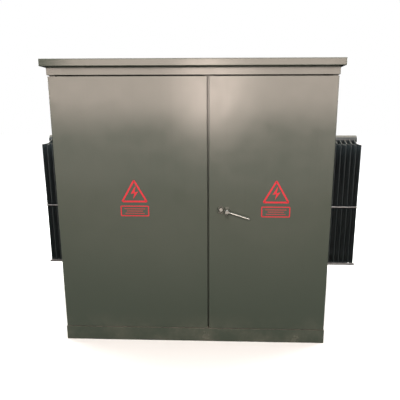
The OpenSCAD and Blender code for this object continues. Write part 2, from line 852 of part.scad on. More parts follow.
module door_handle() {
    color(zinc) {
        bar_y(handle_x, hub_y0 + hub_bevel, cam_y0 + 1, handle_z, shaft_r);
        translate([handle_x, hub_y1, handle_z]) rotate([90, 0, 0]) turned([
            [0, 0], [hub_r - 1, 0], [hub_r, 1], [hub_r, hub_y1 - hub_y0 - hub_bevel],
            [hub_r - hub_bevel, hub_y1 - hub_y0], [0, hub_y1 - hub_y0]
        ]);
        translate([handle_x, handle_y, handle_z]) rotate([0, 90 + handle_drop, 0]) {
            cylinder(h = handle_len, r = handle_r);
            translate([0, 0, handle_len]) sphere(r = handle_r);
        }
        translate([handle_x, cam_y0, handle_z]) rotate([0, 45, 0]) {
            box(-cam_r - 7, cam_r + 7, 0, cam_t, -11, 11);
            for (s = [-1, 1]) bar_y(s * cam_r, cam_t - 1, cam_t + rod_t + 3, 0, cam_pin_r);
        }
    }
}

// A latch rod with the cross slot that its cam pin works in
module latch_rod(x, pin_z, end_z) {
    lo = min(pin_z, end_z);
    hi = max(pin_z, end_z);
    head_h = slot_half_h + 9;
    difference() {
        union() {
            box(x - rod_w / 2, x + rod_w / 2, rod_y0, rod_y0 + rod_t, lo, hi);
            box(x - head_half_w, x + head_half_w, rod_y0, rod_y0 + rod_t, pin_z - head_h, pin_z + head_h);
        }
        box(x - slot_half_w, x + slot_half_w, rod_y0 - 1, rod_y0 + rod_t + 1,
            pin_z - slot_half_h, pin_z + slot_half_h);
    }
}

module latch_rod_upper() {
    color(zinc) latch_rod(handle_x + rod_off, handle_z - throw_z, rod_high);
}

module latch_rod_lower() {
    color(zinc) latch_rod(handle_x - rod_off, handle_z + throw_z, rod_low);
}

module lock_bolt() {
    color(zinc) translate([lock_x, face_y, lock_z]) rotate([90, 0, 0]) {
        translate([0, 0, -nut_t - sheet]) cylinder(h = nut_t + sheet + 3, r = lock_r);
        translate([0, 0, 2.5]) cylinder(h = 3, r = 13);
        translate([0, 0, 5.5]) cylinder(h = 12, r = 10, $fn = PENTA);
    }
}

// Outline of an equal-sided triangle standing on its base, drawn in by a margin
function triangle(side, m) = [
    [-side / 2 + m * sqrt(3), m], [side / 2 - m * sqrt(3), m], [0, side * sqrt(3) / 2 - 2 * m]
];

module hazard_sign(x) {
    panel_gap = 25;
    line = 9;
    color(red) translate([x, face_y, tri_z]) rotate([90, 0, 0]) linear_extrude(sign_t) {
        difference() {
            polygon(triangle(tri_side, 0));
            polygon(triangle(tri_side, tri_bar));
        }
        polygon([[12, 126], [-27, 62], [1, 68], [-9, 24], [29, 80], [3, 74]]);
        difference() {
            translate([-panel_w / 2, -panel_gap - panel_h]) square([panel_w, panel_h]);
            translate([-panel_w / 2 + line, -panel_gap - panel_h + line])
                square([panel_w - 2 * line, panel_h - 2 * line]);
        }
    }
}

module sign_left() {
    hazard_sign(seam_x - sign_out[0]);
}

module sign_right() {
    hazard_sign(seam_x + sign_out[1]);
}

// ---- High voltage side ----

hv_places = [for (row = hv_rows) for (i = [0 : 2]) [hv_x0 + row[0] + i * hv_pitch, hv_z + row[1]]];

module hv_bushings() {
    color(rubber) for (p = hv_places) on_wall(p[0], p[1]) turned([
        [0, -110], [10, -110], [10, -70], [30, -70], [hv_hole_r - 2, -wall], [hv_hole_r, -wall],
        [hv_hole_r, 0], [62, 0], [62, 14], [46, 16], [44, 34], [38, 90], [47, 92], [47, 100],
        [25, 102], [22, 172], [9, 174], [9, 110], [0, 110]
    ]);
}

module parking_stands() {
    color(steel) for (p = hv_places) on_wall(p[0] + stand_out, p[1] - stand_drop) difference() {
        union() {
            translate([-30, -22, 0]) cube([60, 44, 5]);
            translate([-30, -22, 4]) cube([5, 44, 40]);
            translate([25, -22, 4]) cube([5, 44, 40]);
        }
        translate([-31, -6, 18]) cube([62, 12, 27]);
    }
}

// Local frame of a fuse: +Z points up and out of the wall
module fuse_frame(i) {
    translate([fuse_x0 + i * hv_pitch, tank_y0, fuse_z]) rotate([90 - fuse_tilt, 0, 0]) children();
}

module fuse_housings() {
    color(rubber) for (i = [0 : 2]) fuse_frame(i) turned([
        [fuse_bore_r, -fuse_in], [fuse_wall_r, -fuse_in], [fuse_wall_r, fuse_boss_out],
        [fuse_boss_r, fuse_boss_out], [fuse_boss_r, fuse_boss_out + 10],
        [fuse_wall_r + 3, fuse_boss_out + 14], [fuse_wall_r + 3, fuse_out], [fuse_bore_r, fuse_out]
    ]);
}

module fuse_holder(i) {
    plug_r = fuse_bore_r - fit;
    color(zinc) fuse_frame(i) {
        turned([
            [0, -fuse_in + 10], [16, -fuse_in + 10], [18, -fuse_in + 14], [18, -70], [12, -60], [12, 4],
            [plug_r, 6], [plug_r, fuse_out], [20, fuse_out + 0.5], [20, fuse_out + 2], [32, fuse_out + 2],
            [34, fuse_out + 5], [34, fuse_out + 18], [30, fuse_out + 22], [0, fuse_out + 22]
        ]);
        translate([0, 0, fuse_out + 40]) rotate([90, 0, 0]) difference() {
            cylinder(h = 10, r = 24, center = true);
            cylinder(h = 12, r = 14, center = true);
        }
    }
}

module fuse_holder_1() {
    fuse_holder(0);
}

module fuse_holder_2() {
    fuse_holder(1);
}

module fuse_holder_3() {
    fuse_holder(2);
}

// Oil-tight gland that a shaft turns in
module gland(x, z, r) {
    on_wall(x, z) turned([
        [spindle_r + fit, -40], [gland_r, -40], [gland_r, 0], [r, 0], [r, 12], [gland_r + 6, 16],
        [gland_r + 6, 34], [spindle_r + fit, 34]
    ]);
}

module spindle_glands() {
    color(steel) {
        gland(switch_x, switch_z, 52);
        gland(tap_x, tap_z, 60);
    }
}

module switch_handle() {
    arm = 115;
    color(red) on_wall(switch_x, switch_z) {
        translate([0, 0, -90]) cylinder(h = 140, r = spindle_r);
        translate([0, 0, 36]) cylinder(h = 26, r = 25);
        difference() {
            union() {
                translate([-arm, -11, 42]) cube([arm, 22, 12]);
                translate([-arm, 0, 42]) cylinder(h = 12, r = 20);
            }
            translate([-arm, 0, 40]) cylinder(h = 16, r = 11);
        }
    }
}

module tap_handle() {
    color(zinc) on_wall(tap_x, tap_z) {
        translate([0, 0, -90]) cylinder(h = 140, r = spindle_r);
        translate([0, 0, 36]) cylinder(h = 12, r = 40);
        translate([-8, -38, 47]) cube([16, 76, 30]);
        translate([0, 38, 40]) cylinder(h = 6, r = 6);
    }
}

// ---- Low voltage side ----

module lv_bushings() {
    shed_r = 40;
    waist_r = 29;
    shed_pitch = 24;
    sheds = [for (s = [16 : shed_pitch : 64]) each
        [[shed_r, s], [shed_r, s + 10], [waist_r, s + 14], [waist_r, s + 22]]];
    color(glaze) for (i = [0 : 3]) on_wall(lv_x0 + i * lv_pitch, lv_z) {
        turned(concat(
            [[0, -90], [lv_stud_r, -90], [lv_stud_r, -50], [lv_hole_r - 4, -48], [lv_hole_r, -wall],
             [lv_hole_r, 0], [56, 0], [56, 12]],
            sheds, [[lv_stud_r, 90], [lv_stud_r, 150], [0, 150]]
        ));
    }
}

// Four-hole terminal pads clamped on the low voltage studs
module lv_spades() {
    block = 26;
    clamp_len = 44;
    hole_s = spade_s0 + clamp_len + 14 + spade_pitch / 2;
    color(copper) for (i = [0 : 3]) on_wall(lv_x0 + i * lv_pitch, lv_z) difference() {
        union() {
            translate([-block, -block, spade_s0]) cube([2 * block, 2 * block, clamp_len]);
            translate([-spade_t / 2, -spade_w / 2, spade_s0 + clamp_len])
                cube([spade_t, spade_w, spade_w + 8]);
        }
        translate([0, 0, spade_s0 - 1]) cylinder(h = clamp_len + 2, r = lv_stud_r + fit);
        for (a = [-1, 1]) for (b = [-1, 1]) {
            translate([0, a * spade_pitch / 2, hole_s + b * spade_pitch / 2]) rotate([0, 90, 0])
                cylinder(h = 60, r = spade_hole_r, center = true);
        }
    }
}

// Strap that bonds the neutral terminal to its ground pad
module neutral_strap() {
    strap_w = 40;
    strap_t = 3;
    y_out = tank_y0 - spade_s0 - 12;
    z_top = lv_z - 26;
    z_bend = ground_z + 60;
    y_pad = tank_y0 - ground_t;
    color(copper) {
        box(lv_x0 - strap_w / 2, lv_x0 + strap_w / 2, y_out, y_out + strap_t, z_bend, z_top);
        difference() {
            box(lv_x0 - strap_w / 2, lv_x0 + strap_w / 2, y_pad - strap_t, y_pad,
                ground_z - ground_pad_h / 2, z_bend + strap_t);
            for (z = ground_hole_zs) bar_y(lv_x0, y_pad - 10, y_pad + 1, z, ground_r + 1);
        }
        box(lv_x0 - strap_w / 2, lv_x0 + strap_w / 2, y_out + strap_t, y_pad - strap_t,
            z_bend, z_bend + strap_t);
    }
}

module ground_pads() {
    color(zinc) for (x = ground_xs) difference() {
        box(x - 30, x + 30, tank_y0 - ground_t, tank_y0,
            ground_z - ground_pad_h / 2, ground_z + ground_pad_h / 2);
        for (z = ground_hole_zs) bar_y(x, tank_y0 - ground_t - 1, tank_y0 - 1, z, ground_r);
    }
}

// Round gauges: a case with a shallow dial and a hand, open at the front for the glass
module gauges() {
    color(black) for (i = [0 : 2]) on_wall(gauge_xs[i], gauge_z) {
        r = gauge_rs[i];
        turned([
            [0, -30], [gauge_stem_r, -30], [gauge_stem_r, 0], [r - 8, 0], [r, 6], [r, gauge_d],
            [r - gauge_rim, gauge_d], [r - gauge_rim, gauge_d - dial_in], [0, gauge_d - dial_in]
        ]);
        translate([-1.5, -10, gauge_d - dial_in]) cube([3, r - 8, 2]);
    }
}

module gauge_glasses() {
    color("lightcyan") for (i = [0 : 2]) on_wall(gauge_xs[i], gauge_z) {
        translate([0, 0, gauge_d - 5]) cylinder(h = 3, r = gauge_rs[i] - gauge_rim - fit);
    }
}

module relief_valve() {
    color(copper) on_wall(relief_x, relief_z) difference() {
        union() {
            turned([
                [0, -20], [relief_stem_r, -20], [relief_stem_r, 0], [relief_r, 0], [relief_r, 30],
                [relief_r - 4, 34], [relief_r - 4, 52], [0, 52]
            ]);
            cylinder(h = 16, r = relief_r + 6, $fn = HEX);
        }
        translate([0, 0, 10]) cylinder(h = 50, r = relief_bore_r + fit);
    }
}

module relief_ring() {
    color(zinc) on_wall(relief_x, relief_z) {
        translate([0, 0, 20]) cylinder(h = 42, r = relief_bore_r);
        translate([0, 0, 74]) rotate([90, 0, 0]) rotate_extrude() translate([15, 0]) circle(r = 2.5);
    }
}

module drain_valve() {
    color(copper) on_wall(drain_x, drain_z) difference() {
        union() {
            turned([
                [0, -20], [drain_stem_r, -20], [drain_stem_r, 0], [drain_r, 0], [drain_r, 12],
                [20, 14], [20, 40], [30, 46], [30, 84], [20, 90], [20, 108], [0, 108]
            ]);
            translate([0, 0, 104]) cylinder(h = 16, r = 24, $fn = HEX);
            translate([0, 0, 65]) rotate([-90, 0, 0]) cylinder(h = 48, r = 15);
        }
        translate([0, 15, 65]) rotate([-90, 0, 0]) cylinder(h = 50, r = drain_bore_r + fit);
    }
}

module drain_lever() {
    color(zinc) on_wall(drain_x, drain_z) translate([0, 0, 65]) rotate([-90, 0, 0]) {
        translate([0, 0, 20]) cylinder(h = 36, r = drain_bore_r);
        translate([0, 0, 50]) cylinder(h = 10, r = 13);
        translate([-10, -9, 52]) cube([110, 18, 5]);
    }
}

// ---- Core and coils ----

limb_xs = [-limb_pitch, 0, limb_pitch];

module core() {
    top = yoke_z0 + core_w + limb_h;
    x1 = limb_pitch + core_w / 2;
    color(steel) difference() {
        box(-x1, x1, core_y - core_w / 2, core_y + core_w / 2, yoke_z0, top + core_w);
        for (i = [0 : 1]) {
            box(limb_xs[i] + core_w / 2, limb_xs[i + 1] - core_w / 2, core_y - core_w, core_y + core_w,
                yoke_z0 + core_w, top);
        }
    }
}

module coil_set(r) {
    end_gap = 30;
    for (x = limb_xs) difference() {
        bar_z(x, core_y, yoke_z0 + core_w + end_gap, yoke_z0 + core_w + limb_h - end_gap, r[1]);
        bar_z(x, core_y, yoke_z0 + core_w, yoke_z0 + core_w + limb_h, r[0]);
    }
}

module lv_coils() {
    color(copper) coil_set(lv_coil_r);
}

module hv_coils() {
    color(glaze) coil_set(hv_coil_r);
}

// Clamping bars on both faces of the yokes, on feet that stand on the tank floor
module core_clamps() {
    clamp_t = 16;
    clamp_h = 130;
    floor_z = rail_h + floor_t;
    x1 = limb_pitch + core_w / 2 + 30;
    top = yoke_z0 + core_w + limb_h;
    color(paint) for (s = [-1, 1]) {
        y = core_y + s * (core_w / 2 + clamp_t / 2);
        for (z = [yoke_z0 + 20, top + 30]) {
            box(-x1, x1, y - clamp_t / 2, y + clamp_t / 2, z, z + clamp_h);
        }
        for (x = [-x1 + 60, x1 - 60]) {
            box(x - 50, x + 50, y - clamp_t / 2, y + clamp_t / 2, floor_z, yoke_z0 + 20);
        }
    }
}

base_rails();
tank();
tank_ribs();
cover_gasket();
tank_cover();
cover_bolts();
handhole_cover();
lifting_lugs();
radiator_pipes_left();
radiator_pipes_right();
radiator_plates_left();
radiator_plates_right();
radiator_ties();
side_panel_left();
side_panel_right();
cabinet_back();
rear_upper_plate();
sill();
header_rail();
roof();
barrier();
hinge_brackets();
door_left();
door_left_frame();
door_bolt_guides();
door_bolt_upper();
door_bolt_lower();
sign_left();
door_right();
door_right_frame();
latch_guides();
lock_fittings();
sign_right();
door_handle();
latch_rod_upper();
latch_rod_lower();
lock_bolt();
hv_bushings();
parking_stands();
fuse_housings();
fuse_holder_1();
fuse_holder_2();
fuse_holder_3();
spindle_glands();
switch_handle();
tap_handle();
lv_bushings();
lv_spades();
neutral_strap();
ground_pads();
gauges();
gauge_glasses();
relief_valve();
relief_ring();
drain_valve();
drain_lever();
core();
core_clamps();
lv_coils();
hv_coils();
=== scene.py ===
"""Looks of the pad-mounted transformer: painted sheet, plate radiators, signs and fittings.

Metres, +Z up, doors facing -Y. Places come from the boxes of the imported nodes.
"""
import json
import math
from types import SimpleNamespace

import bmesh
import bpy
import numpy as np
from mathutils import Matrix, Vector


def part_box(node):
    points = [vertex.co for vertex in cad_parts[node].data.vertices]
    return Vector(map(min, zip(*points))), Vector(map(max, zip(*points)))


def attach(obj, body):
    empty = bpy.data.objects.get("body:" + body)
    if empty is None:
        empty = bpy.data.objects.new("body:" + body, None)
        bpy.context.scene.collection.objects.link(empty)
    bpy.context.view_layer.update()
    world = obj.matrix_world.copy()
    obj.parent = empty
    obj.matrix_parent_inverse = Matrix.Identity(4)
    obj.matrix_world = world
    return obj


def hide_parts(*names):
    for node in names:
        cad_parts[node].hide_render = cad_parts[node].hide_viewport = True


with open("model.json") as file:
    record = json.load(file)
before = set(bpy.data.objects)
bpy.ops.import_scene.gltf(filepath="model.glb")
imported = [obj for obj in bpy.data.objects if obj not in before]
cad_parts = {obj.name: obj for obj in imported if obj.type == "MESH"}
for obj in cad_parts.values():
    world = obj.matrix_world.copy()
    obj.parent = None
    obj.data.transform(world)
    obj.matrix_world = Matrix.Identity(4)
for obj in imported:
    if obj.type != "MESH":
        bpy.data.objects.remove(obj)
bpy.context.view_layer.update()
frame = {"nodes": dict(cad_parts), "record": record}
NODES = frame["nodes"]
TAU = 2 * math.pi

# Sheet metal, weld and tank sizes
SHEET = 0.003
BEND = 0.005
BEAD = 0.004
FINE_BEAD = 0.8 * BEAD
RIM = 0.045
RIM_T = 0.012
RAIL_H = 0.060


# ---- Surfaces ----

def grid(points, wrap_u=False, wrap_v=False):
    """Points (nu, nv, 3) as flat points and quads; wrapping joins the last row or column to the first."""
    nu, nv = points.shape[:2]
    u = np.arange(nu if wrap_u else nu - 1)[:, None]
    v = np.arange(nv if wrap_v else nv - 1)[None, :]
    u2, v2 = (u + 1) % nu, (v + 1) % nv
    quads = np.stack([u * nv + v, u2 * nv + v, u2 * nv + v2, u * nv + v2], axis=-1)
    return points.reshape(-1, 3), quads.reshape(-1, 4)


def together(parts):
    """Several (points, quads) pairs as one, each part's quads counted on from the points before it."""
    counts = np.cumsum([0] + [len(points) for points, _ in parts])[:-1]
    points = np.concatenate([points for points, _ in parts])
    return points, np.concatenate([quads + start for (_, quads), start in zip(parts, counts)])


def piece(name, parts, body, finish, stands_for=(), smooth=35, outwards=True):
    """One object from its parts: doubled points merged, faces turned outwards, riding on a body."""
    points, quads = together(parts)
    mesh = bpy.data.meshes.new(name)
    mesh.from_pydata(points.tolist(), [], quads.tolist())
    work = bmesh.new()
    work.from_mesh(mesh)
    bmesh.ops.remove_doubles(work, verts=work.verts, dist=4e-6)
    bmesh.ops.dissolve_degenerate(work, edges=work.edges, dist=1e-6)
    if outwards:
        bmesh.ops.recalc_face_normals(work, faces=work.faces)
    work.to_mesh(mesh)
    work.free()
    mesh.polygons.foreach_set("use_smooth", np.ones(len(mesh.polygons), bool))
    mesh.set_sharp_from_angle(angle=math.radians(smooth))
    obj = bpy.data.objects.new(name, mesh)
    bpy.context.scene.collection.objects.link(obj)
    mesh.materials.append(finish)
    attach(obj, body)
    if stands_for:
        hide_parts(*stands_for)
    return obj


def turned(profile, centre, axis, sides=40):
    """A lathe shape: radius and distance along the axis, turned once round the axis through the centre."""
    profile = np.asarray(profile, float)
    along = np.asarray(axis, float) / np.linalg.norm(axis)
    side = np.cross(along, [0.0, 0.0, 1.0] if abs(along[2]) < 0.9 else [1.0, 0.0, 0.0])
    side /= np.linalg.norm(side)
    other = np.cross(along, side)
    turn = np.linspace(0, TAU, sides, endpoint=False)[None, :, None]
    ring = np.cos(turn) * side + np.sin(turn) * other
    points = np.asarray(centre) + profile[:, None, 1:] * along + profile[:, None, :1] * ring
    return grid(points, wrap_v=True)


def tube(path, radius, sides=8, closed=False):
    """A round section carried along a path: at each point a circle across the path's direction."""
    path = np.asarray(path, float)
    if closed:
        along = np.roll(path, -1, axis=0) - np.roll(path, 1, axis=0)
    else:
        along = np.gradient(path, axis=0)
    along /= np.linalg.norm(along, axis=1, keepdims=True)
    hint = np.eye(3)[np.argmin(np.abs(along).max(axis=0))]
    side = np.cross(along, hint)
    side /= np.linalg.norm(side, axis=1, keepdims=True)
    other = np.cross(along, side)
    radius = np.broadcast_to(np.asarray(radius, float), len(path))
    if not closed:
        path = np.concatenate([path[:1], path, path[-1:]])
        side = np.concatenate([side[:1], side, side[-1:]])
        other = np.concatenate([other[:1], other, other[-1:]])
        radius = np.concatenate([[0.0], radius, [0.0]])
    turn = np.linspace(0, TAU, sides, endpoint=False)[None, :, None]
    ring = np.cos(turn) * side[:, None] + np.sin(turn) * other[:, None]
    return grid(path[:, None] + radius[:, None, None] * ring, wrap_u=closed, wrap_v=True)


def ring_path(centre, axis, radius, count=36, start=0.0, stop=TAU):
    """Points round a circle, or an arc of it, about an axis."""
    along = np.asarray(axis, float) / np.linalg.norm(axis)
    side = np.cross(along, [0.0, 0.0, 1.0] if abs(along[2]) < 0.9 else [1.0, 0.0, 0.0])
    side /= np.linalg.norm(side)
    other = np.cross(along, side)
    turn = np.linspace(start, stop, count, endpoint=stop - start < TAU - 1e-6)[:, None]
    return np.asarray(centre) + radius * (np.cos(turn) * side + np.sin(turn) * other)


def straight(start, end, step):
    """Evenly spaced points from start to end, a step apart or a little less."""
    start, end = np.asarray(start, float), np.asarray(end, float)
    count = max(2, int(np.linalg.norm(end - start) / step) + 1)
    return start + (end - start) * np.linspace(0, 1, count)[:, None]


def rounded(corners, radius, steps=5):
    """A closed outline with each corner replaced by an arc: points and their outward normals.

    The arc's centre lies on the corner's bisector, a radius from both edges. Corners run anticlockwise.
    """
    corners = np.asarray(corners, float)
    points, normals = [], []
    for before, at, after in zip(np.roll(corners, 1, axis=0), corners, np.roll(corners, -1, axis=0)):
        a = (at - before) / np.linalg.norm(at - before)
        b = (after - at) / np.linalg.norm(after - at)
        n0, n1 = np.array([a[1], -a[0]]), np.array([b[1], -b[0]])
        centre = at - (n0 + n1) * radius / (1 + n0 @ n1)
        share = np.linspace(0, 1, steps)[:, None]
        normal = (1 - share) * n0 + share * n1
        normal /= np.linalg.norm(normal, axis=1, keepdims=True)
        points.append(centre + radius * normal)
        normals.append(normal)
    return np.concatenate(points), np.concatenate(normals)


def band(outline, normals, inset, y0, y1):
    """A flat ring lying in XZ between y0 and y1: the outline outside, drawn in by the inset inside."""
    inner = outline - normals * inset
    loop = [(outline, y0), (outline, y1), (inner, y1), (inner, y0)]
    points = [np.stack([xz[:, 0], np.full(len(xz), y), xz[:, 1]], axis=-1) for xz, y in loop]
    return grid(np.stack(points, axis=1), wrap_u=True, wrap_v=True)


def flat_shape(strips, y0, y1):
    """A solid flat shape between y0 and y1 from strips of (left, right) point pairs in XZ."""
    parts = []
    for left, right in strips:
        left, right = np.asarray(left, float), np.asarray(right, float)
        loop = [(left, y0), (left, y1), (right, y1), (right, y0)]
        points = [np.stack([xz[:, 0], np.full(len(xz), y), xz[:, 1]], axis=-1) for xz, y in loop]
        parts.append(grid(np.stack(points, axis=1), wrap_v=True))
        for end in (0, -1):
            cap = np.stack([[points[0][end], points[1][end]], [points[3][end], points[2][end]]])
            parts.append(grid(cap))
    return parts


# ---- Shader building ----

def add(tree, kind, props=None, inputs=None):
    """One shader node with its properties and inputs; an input is a value or another node's output."""
    made = tree.nodes.new(kind)
    for key, value in (props or {}).items():
        setattr(made, key, value)
    for key, value in (inputs or {}).items():
        if isinstance(value, bpy.types.NodeSocket):
            tree.links.new(value, made.inputs[key])
        else:
            made.inputs[key].default_value = value
    return made


def maths(tree, operation, a, b=0.0, clamp=False):
    """A Math node's output."""
    return add(tree, "ShaderNodeMath", {"operation": operation, "use_clamp": clamp}, {0: a, 1: b}).outputs[0]


def between(tree, value, low, high, out_low=0.0, out_high=1.0):
    """A value mapped smoothly from one range to another."""
    ranged = add(tree, "ShaderNodeMapRange", {"interpolation_type": "SMOOTHSTEP"},
                 {"Value": value, "From Min": low, "From Max": high, "To Min": out_low, "To Max": out_high})
    return ranged.outputs["Result"]


def blended(tree, share, a, b):
    """Two colours mixed by a share."""
    mix = add(tree, "ShaderNodeMix", {"data_type": "RGBA"}, {"Factor": share, "A": a, "B": b})
    return mix.outputs["Result"]


def spots(tree, vector, scale, detail=4.0, rough=0.55):
    """Cloudy noise from 0 to 1 at a scale in cells to the metre."""
    noise = add(tree, "ShaderNodeTexNoise", {}, {"Vector": vector, "Scale": scale, "Detail": detail,
                                                 "Roughness": rough})
    return noise.outputs["Fac"]


def place(tree):
    """The point's own coordinates, in metres."""
    return add(tree, "ShaderNodeTexCoord").outputs["Object"]


def stretched(tree, vector, scale):
    """A vector scaled separately along X, Y and Z."""
    return add(tree, "ShaderNodeMapping", {}, {"Vector": vector, "Scale": scale}).outputs["Vector"]


def group(name, inputs, outputs, build):
    """A shader node group with named inputs and outputs, built once."""
    tree = bpy.data.node_groups.new(name, "ShaderNodeTree")
    for title, kind, value in inputs:
        socket = tree.interface.new_socket(title, in_out="INPUT", socket_type=kind)
        socket.default_value = value
    for title, kind in outputs:
        tree.interface.new_socket(title, in_out="OUTPUT", socket_type=kind)
    source, sink = tree.nodes.new("NodeGroupInput"), tree.nodes.new("NodeGroupOutput")
    for title, socket in build(tree, source.outputs).items():
        tree.links.new(socket, sink.inputs[title])
    return tree


FLOAT = "NodeSocketFloat"


def build_edge_wear(tree, given):
    """Bare edges: where a rounded normal turns from the face's own, broken up by noise."""
    bevel = add(tree, "ShaderNodeBevel", {"samples": 6}, {"Radius": given["Width"]})
    flat = add(tree, "ShaderNodeNewGeometry").outputs["Normal"]
    turn = add(tree, "ShaderNodeVectorMath", {"operation": "DOT_PRODUCT"}, {0: bevel.outputs[0], 1: flat})
    rim = between(tree, maths(tree, "SUBTRACT", 1.0, turn.outputs["Value"]), 0.02, 0.14)
    chips = between(tree, spots(tree, place(tree), 90.0, 6.0, 0.7), 0.5, 0.64)
    return {"Mask": maths(tree, "MULTIPLY", maths(tree, "MULTIPLY", rim, chips), given["Amount"], True)}


def build_orange_peel(tree, given):
    """The fine skin of sprayed paint: two sizes of soft cells."""
    spot = place(tree)
    coarse = spots(tree, spot, given["Scale"], 2.0, 0.4)
    fine = spots(tree, spot, maths(tree, "MULTIPLY", given["Scale"], 3.1), 1.0, 0.4)
    return {"Height": maths(tree, "ADD", coarse, maths(tree, "MULTIPLY", fine, 0.35))}


def build_weather_and_highlight(tree, given):
    """Dust near the ground, dust with a painted warm highlight on what faces up, and faint runs down what
    stands upright.
    """
    spot = place(tree)
    height = add(tree, "ShaderNodeSeparateXYZ", {}, {0: spot}).outputs["Z"]
    up = add(tree, "ShaderNodeSeparateXYZ", {},
             {0: add(tree, "ShaderNodeNewGeometry").outputs["Normal"]}).outputs["Z"]
    cloud = spots(tree, spot, 5.0, 7.0, 0.65)
    # What faces up is lightened: partly dust, partly a painted warm highlight, as on the radiator pipes' tops
    # and the plates' shoulders.
    flat = maths(tree, "MULTIPLY", between(tree, up, 0.25, 0.9), between(tree, cloud, 0.25, 0.8, 0.62, 1.0))
    splash = maths(tree, "MULTIPLY", between(tree, height, 0.26, 0.0, 0.0, 0.35),
                   between(tree, cloud, 0.36, 0.8))
    dust_and_highlight = maths(tree, "MULTIPLY", maths(tree, "MAXIMUM", flat, splash), given["DustAndHighlight"], True)
    run = spots(tree, stretched(tree, spot, (26.0, 26.0, 0.9)), 1.0, 5.0, 0.6)
    upright = between(tree, maths(tree, "ABSOLUTE", up), 0.5, 0.1)
    runs = maths(tree, "MULTIPLY", between(tree, run, 0.52, 0.78), upright)
    return {"DustAndHighlight": dust_and_highlight, "Runs": maths(tree, "MULTIPLY", runs, given["Runs"], True)}


def build_painted_shade(tree, given):
    """Painted shade in corners and between parts, where little sky is seen, broken up by noise."""
    closed = add(tree, "ShaderNodeAmbientOcclusion", {"samples": 6, "only_local": False},
                 {"Distance": given["Reach"]}).outputs["AO"]
    cloud = spots(tree, place(tree), 22.0, 6.0, 0.6)
    shade = between(tree, maths(tree, "ADD", closed, maths(tree, "MULTIPLY", cloud, 0.3)), 0.95, 0.45)
    return {"Mask": maths(tree, "MULTIPLY", shade, given["Amount"], True)}


def build_brushing(tree, given):
    """Fine drawn lines: noise stretched along X and Z, faded into each other by a slow cloud."""
    spot = place(tree)
    lines = spots(tree, stretched(tree, spot, (30.0, 900.0, 900.0)), 1.0, 3.0, 0.6)
    cross = spots(tree, stretched(tree, spot, (900.0, 900.0, 30.0)), 1.0, 3.0, 0.6)
    cloud = spots(tree, spot, 40.0, 3.0, 0.5)
    mixed = add(tree, "ShaderNodeMix", {"data_type": "FLOAT"}, {"Factor": cloud, "A": lines, "B": cross})
    return {"Height": maths(tree, "MULTIPLY", mixed.outputs[0], given["Depth"]), "Cloud": cloud}


EDGE_WEAR = group("edge_wear", [("Width", FLOAT, 0.002), ("Amount", FLOAT, 0.6)], [("Mask", FLOAT)],
                  build_edge_wear)
ORANGE_PEEL = group("orange_peel", [("Scale", FLOAT, 260.0)], [("Height", FLOAT)], build_orange_peel)
WEATHER_AND_HIGHLIGHT = group("weather_and_highlight", [("DustAndHighlight", FLOAT, 0.5), ("Runs", FLOAT, 0.3)], [("DustAndHighlight", FLOAT), ("Runs", FLOAT)],
                build_weather_and_highlight)
# Painted shade: a mask from ambient occlusion that darkens corners, recesses and gaps between parts.
PAINTED_SHADE = group("painted_shade", [("Reach", FLOAT, 0.04), ("Amount", FLOAT, 0.6)], [("Mask", FLOAT)], build_painted_shade)
BRUSHING = group("brushing", [("Depth", FLOAT, 1.0)], [("Height", FLOAT), ("Cloud", FLOAT)], build_brushing)


def use(tree, shared, inputs=None):
    """A shared group placed in a material with its own values."""
    return add(tree, "ShaderNodeGroup", {"node_tree": shared}, inputs).outputs


def finish(name, **sockets):
    """A new material and its Principled shader, with plain values set on the shader's own sockets."""
    material = bpy.data.materials.new(name)
    material.use_nodes = True
    shader = material.node_tree.nodes["Principled BSDF"]
    for key, value in sockets.items():
        shader.inputs[key.replace("_", " ")].default_value = value
    return material, material.node_tree, shader


def bump(tree, height, distance, strength=1.0, normal=None):
    """A Bump node's normal, on top of another normal if one is given."""
    inputs = {"Height": height, "Distance": distance, "Strength": strength}
    if normal is not None:
        inputs["Normal"] = normal
    return add(tree, "ShaderNodeBump", {}, inputs).outputs["Normal"]


def colour(r, g, b):
    """A colour with full alpha."""
    return (r, g, b, 1.0)


